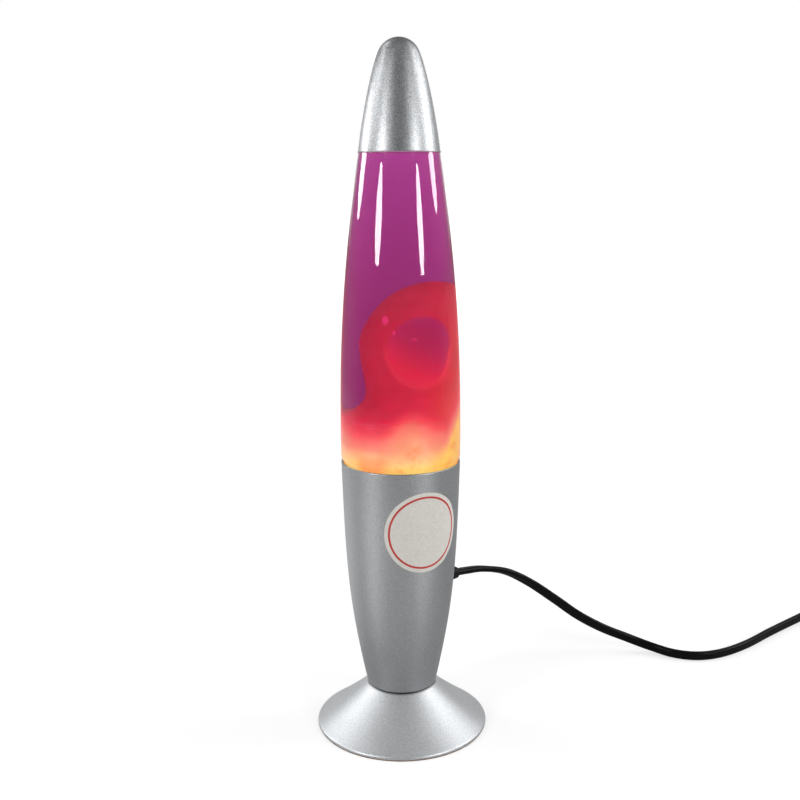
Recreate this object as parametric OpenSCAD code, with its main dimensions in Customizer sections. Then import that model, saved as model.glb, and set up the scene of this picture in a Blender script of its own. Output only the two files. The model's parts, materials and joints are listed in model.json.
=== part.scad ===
// Liquid motion lamp: a glass bottle of wax and liquid stands in a spun metal holder on a flared foot.
// A reflector lamp in the holder heats and lights the bottle, and a pointed cap covers the closure.
// Sizes are in millimetres. The origin is the middle of the foot's underside, with +Z up and +Y to the back.

/* [Foot] */
// Radius of the foot at its rim
foot_r = 44.8; // [42:0.1:50]
// Height of the foot, where the holder stands on it
foot_h = 23; // [20:0.5:28]
// Metal thickness of the foot
foot_wall = 1; // [0.6:0.1:1.4]
// Upright edge below the round of the rim
foot_lip = 0.3; // [0.3:0.1:1.2]
// Radius that rounds the rim over
foot_round = 1.5; // [1.5:0.1:3.5]
// Depth by which the flare is hollow between neck and rim
foot_hollow = 0.5; // [0:0.1:1.5]
// Thickness of the fibre pad that closes the foot
pad_t = 0.8; // [0.8:0.1:2]
// Distance that the pad stays back from the rim
pad_inset = 0.4; // [0:0.1:1]

/* [Holder] */
// Radius of the holder where its wall line meets the foot
holder_bottom_r = 18; // [17.5:0.1:19.5]
// Radius of the holder at its mouth
holder_mouth_r = 30.3; // [29.5:0.1:32]
// Metal thickness of the holder
holder_wall = 1; // [0.7:0.1:1.3]
// Round of the corner at the bottom
holder_corner = 1.5; // [1:0.1:2]
// Outward lean of the wall at the bottom, in degrees
holder_low_lean = 12; // [10:0.5:14]
// Outward lean of the wall at the mouth, in degrees
holder_top_lean = 1.6; // [1:0.1:3]
// Height of the cord's hole above the foot
cord_exit_h = 50; // [46:0.5:56]
// Direction of the cord's hole, in degrees round from +X
cord_exit_turn = 45; // [35:1:55]

/* [Bottle] */
// Depth of the bottle below the holder's rim
bottle_sink = 26.5; // [22:0.5:32]
// Height of the glass between the holder's rim and the cap
glass_h = 153.2; // [130:0.1:180]
// Largest radius of the glass
glass_r = 30.4; // [30:0.1:31]
// Radius of the glass below the cap
glass_top_r = 19.9; // [19:0.1:22]
// Thickness of the glass
glass_wall = 2.2; // [1.5:0.1:3]
// Thickness of the bottle's floor
glass_base = 4.5; // [3.5:0.1:6]
// Round of the bottle's lower corner
base_round = 7; // [5:0.5:9]
// Radius of the bottle's neck
neck_r = 12.4; // [11.5:0.1:12.8]
// Radius of the hole in the neck
neck_bore = 9; // [7.5:0.1:10]
// Radius of the bottle's lip
lip_r = 13.3; // [13:0.1:13.8]
// Height of the lip's top above the cap's edge
neck_h = 16.5; // [15:0.5:20]
// Height of the liquid above the cap's edge
fill_h = 3; // [0:0.5:5]

/* [Cap] */
// Height of the pointed cap
cap_h = 53; // [48:0.5:62]
// Metal thickness of the cap
cap_wall = 0.8; // [0.5:0.1:1.2]
// Radius of the cap's round nose
cap_nose_r = 10.7; // [9:0.1:12]

/* [Wax and coil] */
// Height of the wax dome above the holder's rim
wax_dome_h = 25; // [15:0.5:32]
// Radius of the rising lump of wax
wax_lump_r = 20.5; // [16:0.5:23]
// Height of the rising lump's middle above the holder's rim
wax_lump_h = 59; // [55:0.5:75]
// Radius of the ring that the wire coil is bent into
wire_ring_r = 15.5; // [12:0.5:17]
// Radius of one curl of the wire coil
wire_curl_r = 2.4; // [1.8:0.1:3]
// Diameter of the coil's wire
wire_d = 0.9; // [0.6:0.1:1.1]
// Number of curls in the wire coil
wire_curls = 28; // [18:1:32]

/* [Reflector lamp] */
// Largest radius of the reflector lamp
bulb_r = 19.5; // [18:0.1:21]
// Length of the reflector lamp with its screw cap
bulb_len = 66; // [62:0.5:72]
// Outer radius of the lamp's screw cap
screw_r = 6.95; // [6.8:0.05:7]
// Air between the lamp's top and the bottle
bulb_gap = 6.3; // [5:0.1:12]
// Glass thickness of the lamp
bulb_wall = 0.7; // [0.5:0.1:1]

/* [Lampholder] */
// Outer radius of the ceramic lampholder
socket_r = 13.5; // [12.5:0.1:14.5]
// Height of the ceramic lampholder
socket_h = 30; // [28:0.5:31.5]
// Height of the lampholder's underside above the holder's floor
bracket_rise = 10; // [9.5:0.5:16]
// Metal thickness of the bracket
bracket_t = 1; // [0.8:0.1:1.5]
// Width of the bracket
bracket_w = 11; // [10.6:0.1:13]
// Outer radius of the threaded stem
stem_r = 5; // [4:0.1:5]
// Radius of the stem's bore
stem_bore = 3.5; // [2.5:0.1:3.8]
// Width of the stem's nuts across flats
nut_flats = 14; // [13:0.5:16]
// Height of the stem's nuts
nut_h = 3; // [2.5:0.1:3.2]
// Thickness of the stem's washers
washer_t = 0.8; // [0.5:0.1:0.9]

/* [Cord] */
// Width of the flat twin cord
cord_w = 5.4; // [5:0.1:5.6]
// Thickness of the flat twin cord
cord_t = 3.4; // [3:0.1:3.8]
// Length of the cord bushing outside the holder
bushing_out = 15.5; // [14:0.5:20]
// Radius of the coil at the middle of its turns
coil_mid_r = 28.5; // [28:0.5:33]
// Whole turns in the coil, besides the part turn to the plug
coil_turns = 7; // [4:1:7]
// Free gap between the turns of the coil
coil_gap = 0.6; // [0.5:0.1:0.8]
// Thickness of the tie round the coil
tie_t = 1; // [0.6:0.1:1.4]
// Width of the tie round the coil
tie_w = 6; // [4:0.5:10]

/* [Switch] */
// Length of the switch on the cord
switch_l = 62; // [58:0.5:64]
// Width of the switch
switch_w = 22; // [20:0.5:25]
// Height of the switch
switch_h = 17; // [16:0.5:19]
// Height of the switch's lower half
switch_split = 7.5; // [7:0.1:8]
// Wall of the switch's halves
switch_wall = 1.6; // [1.2:0.1:2]
// Width of the rocker
rocker_w = 10.4; // [9:0.1:11]
// Radius of the rocker's ends about its pivot
rocker_r = 8.2; // [7.5:0.1:8.6]
// Tilt of the rocker to each side, in degrees
rocker_tilt = 11; // [8:1:13]

/* [Plug] */
// Width of the plug's front face
plug_w = 35.3; // [34:0.1:37]
// Thickness of the plug
plug_t = 13.7; // [13:0.1:15]
// Length of the plug's body
plug_l = 36; // [32:0.5:40]
// Length of the plug's bend guard
plug_guard = 20; // [16:0.5:22]
// Radius of a pin
pin_r = 2; // [1.9:0.05:2.4]
// Length of a pin in front of the plug
pin_l = 19; // [18:0.5:20]
// Distance between the pins
pin_pitch = 18.6; // [17.5:0.1:19]

/* [Hidden] */
$fn = 96;

silver = "#b3b6b9";
steel = "#8d9196";
brass = "#c9a64c";
black = "#1c1c1e";

// Clearances
seat_gap = 0.3;
thread_gap = 0.1;
slip_gap = 0.4;
face_gap = 0.05;
fill_gap = 0.15;
pivot_gap = 0.07;

// Curves and lines in a plane
function unit(v) = v / norm(v);
function flip(line) = [for (i = [len(line) - 1:-1:0]) line[i]];
function tail_of(line) = [for (i = [1:len(line) - 1]) line[i]];
function arc(c, r, from, to, n) = [
    for (i = [0:n])
        let (a = from + (to - from) * i / n)
        c + r * [cos(a), sin(a)]
];
function bezier(p0, p1, p2, p3, n) = [
    for (i = [0:n])
        let (t = i / n, s = 1 - t)
        s * s * s * p0 + 3 * s * s * t * p1 + 3 * s * t * t * p2 + t * t * t * p3
];
// The point that lies a length away from another, at a lean from upright
function leaning(p, lean, length) = p + length * [sin(lean), cos(lean)];
// A line moved to its left by a distance, with mitred corners
function inset(line, d) = [
    for (i = [0:len(line) - 1])
        let (
            p = line[i],
            before = i == 0 ? unit(line[1] - p) : unit(p - line[i - 1]),
            after = i == len(line) - 1 ? before : unit(line[i + 1] - p),
            side = [-before[1], before[0]],
            mitre = unit(side + [-after[1], after[0]])
        )
        p + d / (mitre * side) * mitre
];
// The radius of an upright line at a height
function radius_at(line, z) = lookup(z, [for (p = line) [p[1], p[0]]]);

module turned(line) {
    rotate_extrude()
        polygon(line);
}
// A spun shell: a line and the same line moved by a wall, which may end on the axis
module shell(line, wall) {
    turned(concat(line, [for (p = flip(inset(line, wall))) [max(p[0], 0), p[1]]]));
}
// A bent strip: a line in the XZ plane with a thickness, and a width along Y
module strip(line, thickness, width) {
    rotate([90, 0, 0])
        linear_extrude(width, center = true)
            polygon(concat(inset(line, thickness / 2), flip(inset(line, -thickness / 2))));
}
module hex_nut(z) {
    translate([0, 0, z])
        difference() {
            cylinder(d = nut_flats / cos(30), h = nut_h, $fn = 6);
            translate([0, 0, -1])
                cylinder(r = stem_r + thread_gap, h = nut_h + 2);
        }
}
module washer(z) {
    translate([0, 0, z])
        difference() {
            cylinder(r = nut_flats / 2 + 2, h = washer_t);
            translate([0, 0, -1])
                cylinder(r = stem_hole_r, h = washer_t + 2);
        }
}

// Swept tubes
// A flat cord's section: two half-round edges with a number of points each
function flat_section(w, t, points) = concat(
    arc([(w - t) / 2, 0], t / 2, -90, 90, points - 1), arc([(t - w) / 2, 0], t / 2, 90, 270, points - 1)
);
function round_section(r, sides) = [for (k = [0:sides - 1]) r * [cos(360 * k / sides), sin(360 * k / sides)]];
// One ring of a tube at a point, across a direction, with its wide side rolled from level
function ring(c, dir, roll, shape) =
    let (
        side = unit(cross(dir, [0, 0, 1])),
        up = cross(side, dir),
        wide = cos(roll) * side + sin(roll) * up,
        thin = cos(roll) * up - sin(roll) * side
    )
    [for (q = shape) c + q[0] * wide + q[1] * thin];
function headings(path, first, last) = [
    for (i = [0:len(path) - 1])
        i == 0 ? first : i == len(path) - 1 ? last : unit(path[i + 1] - path[i - 1])
];
// Points of a smooth curve through a route, with steps between each pair
function smooth_route(p, steps) = concat([
    for (i = [0:len(p) - 2], k = [0:steps - 1])
        let (
            a = p[max(i - 1, 0)], b = p[i], c = p[i + 1], d = p[min(i + 2, len(p) - 1)],
            t = k / steps
        )
        (2 * b + t * (c - a) + t * t * (2 * a - 5 * b + 4 * c - d)
            + t * t * t * (3 * b - a - 3 * c + d)) / 2
], [p[len(p) - 1]]);
function place(p) = [p[0], p[1], p[2]];
function route_length(path) = len(path) < 2 ? 0 :
    [for (i = [1:len(path) - 1]) norm(place(path[i]) - place(path[i - 1]))]
    * [for (i = [1:len(path) - 1]) 1];
// Rings along a route of points with rolls, between two end directions
function route_rings(route, first, last, shape) =
    let (
        path = [for (p = route) place(p)],
        dirs = headings(path, first, last)
    )
    [for (i = [0:len(path) - 1]) ring(path[i], dirs[i], route[i][3], shape)];
// The least distance between points on turns that are more than some rings apart
function least_gap(rings, apart, near) = min([
    for (i = [0:len(rings) - 1], j = [i + apart:1:len(rings) - 1])
        if (norm(rings[i][0] - rings[j][0]) < near)
            min([for (a = rings[i], b = rings[j]) norm(a - b)])
]);
module tube(rings) {
    n = len(rings[0]);
    m = len(rings);
    polyhedron(
        [for (r = rings) each r],
        concat(
            [for (i = [0:m - 2], k = [0:n - 1]) [i * n + k, i * n + (k + 1) % n, (i + 1) * n + k]],
            [for (i = [0:m - 2], k = [0:n - 1])
                [i * n + (k + 1) % n, (i + 1) * n + (k + 1) % n, (i + 1) * n + k]],
            [for (k = [1:n - 2]) [0, k + 1, k]],
            [for (k = [1:n - 2]) [(m - 1) * n, (m - 1) * n + k, (m - 1) * n + k + 1]]
        )
    );
}

// Heights of the stack
floor_z = foot_h + holder_wall;
tip_seat = 11;
socket_z = floor_z + bracket_rise;
bulb_z = socket_z + tip_seat;
bottle_z = bulb_z + bulb_len + bulb_gap;
rim_z = bottle_z + bottle_sink;
cap_z = rim_z + glass_h;
top_z = cap_z + cap_h;
lip_z = cap_z + neck_h;

// Foot: neck, hollow flare and rounded rim
neck_step = 0.4;
flare_steps = 8;
stem_hole_r = stem_r + 2 * thread_gap;
foot_neck = [holder_bottom_r - neck_step, foot_h];
rim_c = [foot_r - foot_round, pad_t + foot_lip];
flare_fall = atan2(foot_h - rim_c[1], rim_c[0] - foot_neck[0]);
flare_end = rim_c + foot_round * [sin(flare_fall), cos(flare_fall)];
flare = [
    for (i = [0:flare_steps])
        let (t = i / flare_steps)
        foot_neck + t * (flare_end - foot_neck)
            - 4 * t * (1 - t) * foot_hollow * [sin(flare_fall), cos(flare_fall)]
];
foot_line = concat(
    [[stem_hole_r, foot_h]], flare,
    tail_of(arc(rim_c, foot_round, 90 - flare_fall, 0, 5)), [[foot_r, pad_t]]
);

// Holder: floor, corner, bellied wall and half-round rim
wall_steps = 22;
low_reach = 0.366;
top_reach = 0.5;
corner_c = [
    holder_bottom_r + holder_corner * ((1 - sin(holder_low_lean)) * tan(holder_low_lean) - cos(holder_low_lean)),
    foot_h + holder_corner
];
holder_corner_line = arc(corner_c, holder_corner, -90, -holder_low_lean, 5);
wall_start = holder_corner_line[5];
wall_end = [holder_mouth_r, rim_z - holder_wall / 2];
wall_rise = wall_end[1] - wall_start[1];
holder_line = bezier(
    wall_start,
    leaning(wall_start, holder_low_lean, low_reach * wall_rise),
    leaning(wall_end, holder_top_lean, -top_reach * wall_rise),
    wall_end, wall_steps
);
holder_inner = inset(holder_line, holder_wall);
rim_mid = (wall_end + holder_inner[wall_steps]) / 2;
holder_rim = arc(rim_mid, holder_wall / 2, -holder_top_lean, 180 - holder_top_lean, 6);
holder_outline = concat(
    [[stem_hole_r, foot_h]], holder_corner_line, tail_of(holder_line), tail_of(holder_rim),
    tail_of(flip(holder_inner)), flip(inset(holder_corner_line, holder_wall)), [[stem_hole_r, floor_z]]
);

// Cord hole and bushing, square to the holder's wall
exit_z = foot_h + cord_exit_h;
exit_r = radius_at(holder_line, exit_z);
wall_lean = atan((radius_at(holder_line, exit_z + 5) - radius_at(holder_line, exit_z - 5)) / 10);
exit_dir = [
    cos(cord_exit_turn) * cos(wall_lean), sin(cord_exit_turn) * cos(wall_lean), -sin(wall_lean)
];
exit_p = [exit_r * cos(cord_exit_turn), exit_r * sin(cord_exit_turn), exit_z];
bushing_neck_r = 3.9;
bushing_collar_r = 5.6;
bushing_collar_t = 3;
bushing_flange_t = 1.8;
bushing_flange_r = 5.8;
bushing_tip_r = cord_w / 2 + 0.6;
collar_end = holder_wall + bushing_collar_r * bushing_collar_r / (2 * exit_r) + 2 * thread_gap;
bushing_in = collar_end + bushing_collar_t;
bushing_tip = exit_p + bushing_out * exit_dir;

// Reflector lamp
skirt_r = 8.5;
skirt_z = bulb_z + 25;
thread_end_z = bulb_z + 19.5;
bulb_neck_r = 7.4;
bulb_neck_z = bulb_z + 22.8;
bulb_neck_h = 9;
mount_z = bulb_z + 39;
filament_z = bulb_z + 44;
filament_r = 6;
bulb_dome_h = 13;
bulb_swell = 16;
bulb_crown = 11;
dome_z = bulb_z + bulb_len - bulb_dome_h;
bulb_line = concat(
    [[bulb_neck_r, bulb_neck_z]],
    bezier(
        [bulb_neck_r, skirt_z], [bulb_neck_r, skirt_z + bulb_neck_h],
        [bulb_r, dome_z - bulb_swell], [bulb_r, dome_z], 12
    ),
    tail_of(bezier(
        [bulb_r, dome_z], [bulb_r, dome_z + 0.55 * bulb_dome_h],
        [bulb_crown, dome_z + bulb_dome_h], [0, dome_z + bulb_dome_h], 8
    ))
);

// Bottle: floor, taper inside the holder, shoulder on the rim, belly, ledge and spigot for the cap, neck
punt = 2;
low_z = bottle_z + base_round;
low_r = radius_at(holder_inner, low_z) - seat_gap;
taper_end_z = rim_z - holder_wall;
shoulder_rise = 3.2;
ledge_round = 0.5;
ledge_z = cap_z - seat_gap;
spigot_r = glass_top_r - cap_wall - slip_gap;
spigot_h = 4;
neck_foot_z = lip_z - 6.5;
lip_low_z = lip_z - 5;
taper = [
    for (i = [0:4])
        let (z = low_z + (taper_end_z - low_z) * i / 4)
        [radius_at(holder_inner, z) - seat_gap, z]
];
belly_start = [glass_r - 0.05, rim_z + shoulder_rise];
belly_end = [glass_top_r, ledge_z - ledge_round];
belly_rise = belly_end[1] - belly_start[1];
belly_low_lean = 0.5;
belly_top_lean = -8.3;
belly_low_reach = 0.433;
belly_top_reach = 0.306;
shoulder = bezier(
    taper[4], taper[4] + [0, shoulder_rise / 2], belly_start - [0, shoulder_rise / 2], belly_start, 6
);
belly = bezier(
    belly_start,
    leaning(belly_start, belly_low_lean, belly_low_reach * belly_rise),
    leaning(belly_end, belly_top_lean, -belly_top_reach * belly_rise),
    belly_end, 26
);
glass_side = concat(taper, tail_of(shoulder), tail_of(belly));
bottle_line = concat(
    [for (i = [0:4]) [(low_r - base_round - 2) * i / 4, bottle_z + punt * (1 - i * i / 16)]],
    arc([low_r - base_round, low_z], base_round, -90, 0, 7),
    tail_of(glass_side),
    tail_of(arc(belly_end - [ledge_round, 0], ledge_round, 0, 90, 4)),
    [[spigot_r, ledge_z], [spigot_r - 0.5, ledge_z + spigot_h]],
    tail_of(bezier(
        [spigot_r - 0.5, ledge_z + spigot_h], [spigot_r - 1, ledge_z + spigot_h + 3],
        [neck_r, neck_foot_z - 3], [neck_r, neck_foot_z], 6
    )),
    [[neck_r, lip_low_z - 0.6], [lip_r, lip_low_z], [lip_r, lip_z - 0.8], [lip_r - 0.8, lip_z]]
);
hollow_round = 5;
hollow_z = bottle_z + glass_base;
hollow_side = inset(glass_side, glass_wall);
hollow_low = hollow_side[1];
hollow_top = hollow_side[len(hollow_side) - 1];
hollow_line = concat(
    [[0, hollow_z]],
    arc([hollow_low[0] - hollow_round, hollow_z + hollow_round], hollow_round, -90, 0, 6),
    [for (i = [2:len(hollow_side) - 1]) hollow_side[i]],
    tail_of(bezier(
        hollow_top, leaning(hollow_top, belly_top_lean, 5),
        [neck_bore, neck_foot_z - 4], [neck_bore, neck_foot_z], 6
    )),
    [[neck_bore, lip_z]]
);

// Wax and wire coil
// Liquid film between the rising wax and the glass
wax_film = 1;
lump_turn = 25;
crest_turn = 10;
crest_rise = 13.5;
crest_r = 16.5;
waist_drop = 24;
waist_less = 1;
dimple_drop = 0.5;
dimple_x = 9;
dimple_out = 29.2;
dimple_r = 22;
dome_r = 200;
// The middle of a ball of wax that comes to within the film of the glass, towards a direction
function wax_ball(r, z, turn) =
    let (reach = radius_at(hollow_side, z) - r - wax_film)
    [reach * cos(turn), reach * sin(turn), z];
lump_z = rim_z + wax_lump_h;
lump_c = wax_ball(wax_lump_r, lump_z, lump_turn);
crest_c = wax_ball(crest_r, lump_z + crest_rise, crest_turn);
waist_c = [lump_c[0], lump_c[1], lump_z - waist_drop];
waist_r = wax_lump_r - waist_less;
dimple_c = [dimple_x, -dimple_out, lump_z - dimple_drop];
dome_c = [0, 0, rim_z + wax_dome_h - dome_r];
wire_z = hollow_z + fill_gap + wire_curl_r + wire_d / 2;
wire_spread = 348;
wire_steps = 8 * wire_curls;

// Closure
crown_t = 0.4;
liner_t = 0.7;
crown_skirt = 5.2;
crown_flutes = 21;
flute_depth = 0.35;
crown_r = lip_r + 0.7;

// Cap: flank and nose
nose_lean = 24;
nose_c = [0, top_z - cap_nose_r];
nose_start = nose_c + cap_nose_r * [cos(nose_lean), sin(nose_lean)];
cap_line = concat(
    bezier(
        [glass_top_r, cap_z], leaning([glass_top_r, cap_z], -6, 0.2 * cap_h),
        leaning(nose_start, -nose_lean, -0.2 * cap_h), nose_start, 14
    ),
    tail_of(arc(nose_c, cap_nose_r, nose_lean, 90, 9))
);

// Cord: route points as x, y, z and the roll of the wide side from level, chosen by hand
lead_route = [
    [36, 35.6, 70.2, 0], [46, 43, 68.4, 10], [60, 50, 64, 30], [74.5, 57, 54.5, 55], [90, 64.5, 41.5, 75],
    [105.5, 72, 28, 90], [121.5, 78.5, 17, 90], [137, 82, 9.3, 90], [151, 80, 4.4, 90], [164, 72.5, 2.9, 90],
    [178, 69, 2.8, 90], [193.5, 73, 2.8, 90], [212, 85, 2.8, 90], [232.5, 103, 2.8, 90], [254, 121, 2.8, 90],
    [268, 132, 2.8, 90], [285, 140, 2.8, 90], [305, 138.5, 3.2, 90], [321.5, 127, 4.4, 90], [330, 110, 6.4, 90]
];
switch_c = [332, 61, 0];
coil_y = -14;
coil_out_turn = 352;
plug_reach = 36;

// Switch, with its length along X about its own middle
switch_nose = 16;
switch_end_w = 5.5;
switch_drop = 4.5;
slot_depth = 3;
rocker_z = switch_h - 4;
rocker_dish_z = 3.6;
rocker_low_z = 3;
rocker_gap = 0.4;
trunnion_r = 1.5;
collar_t = 1.6;
screw_x = 19;
post_r = 3.8;
screw_shank_r = 1.4;
screw_head_r = 2.6;
screw_head_h = 1.4;
cord_z = switch_split;
switch_in = [switch_c[0], switch_c[1] + switch_l / 2 - slot_depth, cord_z];
switch_out = [switch_c[0], switch_c[1] - switch_l / 2 + slot_depth, cord_z];

// Coil: turns counted from the switch, clockwise, in two layers
part_turn = (360 - coil_out_turn) / 360;
turns = coil_turns + part_turn;
coil_pitch = cord_t + coil_gap;
coil_outer = coil_mid_r + coil_pitch * turns / 4;
coil_c = [switch_c[0] - coil_outer, coil_y];
coil_low_z = tie_t + seat_gap + cord_w / 2;
coil_step = cord_w + coil_gap;
rings_a_turn = 24;
function ease(u) = let (v = min(max(u, 0), 1)) v * v * (3 - 2 * v);
function coil_point(t) =
    let (r = coil_outer - coil_pitch * min(t, turns - t))
    [
        coil_c[0] + r * cos(360 * t), coil_c[1] - r * sin(360 * t),
        coil_low_z + coil_step * ease((t - turns / 2) * 2 + 0.5)
    ];
coil_count = round(turns * rings_a_turn);
coil_path = [for (i = [0:coil_count]) coil_point(turns * i / coil_count)];
coil_first = unit(coil_path[1] - coil_path[0]);
coil_last = unit(coil_path[coil_count] - coil_path[coil_count - 1]);
coil_start = coil_path[0] - cord_w * coil_first;
coil_end = coil_path[coil_count] + cord_w * coil_last;
coil_route = [for (p = concat([coil_start], coil_path, [coil_end])) [p[0], p[1], p[2], 90]];
coil_shape = flat_section(cord_w, cord_t, 3);
coil_rings = route_rings(coil_route, coil_first, coil_last, coil_shape);

// Plug: its axis carries on from the coil's end
plug_dir = unit([coil_last[0], coil_last[1], 0]);
plug_turn = atan2(plug_dir[1], plug_dir[0]);
plug_z = plug_t / 2;
plug_tip = [coil_end[0], coil_end[1], 0] + plug_reach * plug_dir + [0, 0, plug_z];
guard_tip_r = cord_w / 2 + 0.7;
guard_root_r = 5;
guard_ribs = 5;
pin_seat = 6;
pin_root_r = pin_r - 0.3;
plug_corner = 2.5;

// Cord stretches
cord_shape = flat_section(cord_w, cord_t, 5);
lead_path = smooth_route(concat(
    [[bushing_tip[0], bushing_tip[1], bushing_tip[2], 0]], lead_route,
    [[switch_in[0], switch_in[1] + 9, switch_in[2], 90], [switch_in[0], switch_in[1], switch_in[2], 90]]
), 2);
link_path = [
    for (t = [0:0.2:1])
        let (p = switch_out + t * (coil_start - switch_out))
        [p[0], p[1], switch_out[2] + ease(t) * (coil_start[2] - switch_out[2]), 90]
];
tail_path = [
    for (t = [0:0.2:1])
        let (p = coil_end + t * (plug_tip - coil_end))
        [p[0], p[1], coil_end[2] + ease(t) * (plug_tip[2] - coil_end[2]), 90]
];

// Wires inside the holder, from the bushing down to the terminals
wire_r = 1.1;
terminal_spread = 24;
terminal_mid_r = 15.3;
terminal_top_z = socket_z + 6.2;
function terminal_p(side) =
    let (a = cord_exit_turn + side * terminal_spread)
    [terminal_mid_r * cos(a), terminal_mid_r * sin(a), terminal_top_z];
function wire_start(side) =
    exit_p - bushing_in * exit_dir
        + side * (wire_r + seat_gap) * [-sin(cord_exit_turn), cos(cord_exit_turn), 0];
function wire_path(side) =
    let (from = wire_start(side), to = terminal_p(side))
    bezier(from, from - 4 * exit_dir, to + [0, 0, 22], to, 12);
wire_shape = round_section(wire_r, 8);

// The wire coil: curls wound round a ring
function wire_point(i) =
    let (a = wire_spread * i / wire_steps, b = 360 * wire_curls * i / wire_steps)
    [
        (wire_ring_r + wire_curl_r * cos(b)) * cos(a),
        (wire_ring_r + wire_curl_r * cos(b)) * sin(a),
        wire_z + wire_curl_r * sin(b)
    ];
function wire_out(i) =
    let (a = wire_spread * i / wire_steps, b = 360 * wire_curls * i / wire_steps)
    [cos(b) * cos(a), cos(b) * sin(a), sin(b)];
wire_rings = [
    for (i = [0:wire_steps])
        let (
            dir = unit(wire_point(i + 0.5) - wire_point(i - 0.5)),
            out = unit(wire_out(i) - (wire_out(i) * dir) * dir),
            side = cross(dir, out)
        )
        [for (k = [0:5]) wire_point(i) + wire_d / 2 * (cos(60 * k) * out + sin(60 * k) * side)]
];

echo(height = top_z, rim = rim_z, cap_edge = cap_z, bulb_top = bulb_z + bulb_len);
echo(lead = route_length(lead_path), link = route_length(link_path));
echo(coil = route_length(coil_route), tail = route_length(tail_path), turns = turns);
echo(plug_tip = plug_tip, plug_dir = plug_dir, plug_front = plug_guard + plug_l);
echo(exit_p = exit_p, exit_dir = exit_dir, bushing_tip = bushing_tip, rocker = rocker_z);
echo(coil_start = coil_start, coil_end = coil_end, switch_in = switch_in, switch_out = switch_out);
echo(coil_least_gap = least_gap(coil_rings, 14, 12), wire_least_gap = least_gap(wire_rings, 6, 6));

// Foot
module foot() {
    color(silver)
        shell(foot_line, -foot_wall);
}
module foot_pad() {
    color("#8a6647")
        cylinder(r = foot_r - pad_inset, h = pad_t);
}
stem_low_z = foot_h - foot_wall - washer_t - nut_h - 0.8;
stem_top_z = floor_z + bracket_t + washer_t + nut_h + 0.6;
module stem() {
    color(steel)
        translate([0, 0, stem_low_z])
            difference() {
                cylinder(r = stem_r, h = stem_top_z - stem_low_z);
                translate([0, 0, -1])
                    cylinder(r = stem_bore, h = stem_top_z - stem_low_z + 2);
            }
}
module stem_nuts() {
    color(steel) {
        hex_nut(foot_h - foot_wall - washer_t - nut_h);
        hex_nut(floor_z + bracket_t + washer_t);
    }
}
module stem_washers() {
    color(steel) {
        washer(foot_h - foot_wall - washer_t);
        washer(floor_z + bracket_t);
    }
}

// Holder and cord bushing
module along_exit(from) {
    translate(exit_p + from * exit_dir)
        rotate([0, 90 + wall_lean, cord_exit_turn])
            children();
}
module holder() {
    color(silver)
        difference() {
            turned(holder_outline);
            along_exit(-2 * holder_wall - 1)
                cylinder(r = bushing_neck_r + thread_gap, h = 3 * holder_wall + 4);
        }
}
module cord_bushing() {
    rib_step = (bushing_out - bushing_flange_t - 2) / 4;
    boot_r = bushing_tip_r + 1.3;
    color(black)
        along_exit(-bushing_in)
            difference() {
                turned([
                    [0, 0], [bushing_collar_r - 0.6, 0], [bushing_collar_r, 0.6],
                    [bushing_collar_r, bushing_collar_t], [bushing_neck_r, bushing_collar_t],
                    [bushing_neck_r, bushing_in + thread_gap], [bushing_flange_r, bushing_in + thread_gap],
                    [bushing_flange_r, bushing_in + bushing_flange_t - 0.5],
                    [bushing_flange_r - 0.5, bushing_in + bushing_flange_t],
                    [boot_r, bushing_in + bushing_flange_t], [bushing_tip_r, bushing_in + bushing_out],
                    [0, bushing_in + bushing_out]
                ]);
                for (i = [1:3])
                    translate([0, 0, bushing_in + bushing_flange_t + i * rib_step])
                        difference() {
                            cylinder(r = bushing_flange_r, h = 1.2, center = true);
                            cylinder(r = bushing_tip_r - 0.1, h = 2, center = true);
                        }
            }
}

// Lampholder
bracket_bend = 2;
bracket_x = 15;
module socket_bracket() {
    low = floor_z + bracket_t / 2;
    high = socket_z - bracket_t / 2;
    line = concat(
        [[9.5, low]],
        arc([-bracket_x + bracket_bend, low + bracket_bend], bracket_bend, -90, -180, 5),
        arc([-bracket_x + bracket_bend, high - bracket_bend], bracket_bend, 180, 90, 5),
        [[8, high]]
    );
    color(steel)
        difference() {
            strip(line, bracket_t, bracket_w);
            translate([0, 0, floor_z - 1])
                cylinder(r = stem_hole_r, h = bracket_t + 2);
            translate([0, 0, socket_z - bracket_t - 1])
                cylinder(r = mount_screw_r + thread_gap, h = bracket_t + 2);
        }
}
mount_screw_r = 2;
mount_screw_in = 5.5;
module bracket_screw() {
    color(steel)
        translate([0, 0, socket_z - bracket_t]) {
            cylinder(r = mount_screw_r, h = bracket_t + mount_screw_in);
            translate([0, 0, -2.2])
                cylinder(r1 = 3, r2 = 3.6, h = 2.2);
        }
}
shell_r = screw_r + 1;
shell_wall = 0.4;
shell_seat = 12;
contact_bore = 6.3;
contact_floor = 8;
waist_in = 1.5;
pocket_z = 0.8;
block_w = 5.2;
block_in = 10.8;
block_out = 16.8;
module at_terminals() {
    for (side = [-1, 1])
        rotate(cord_exit_turn + side * terminal_spread)
            children();
}
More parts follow.
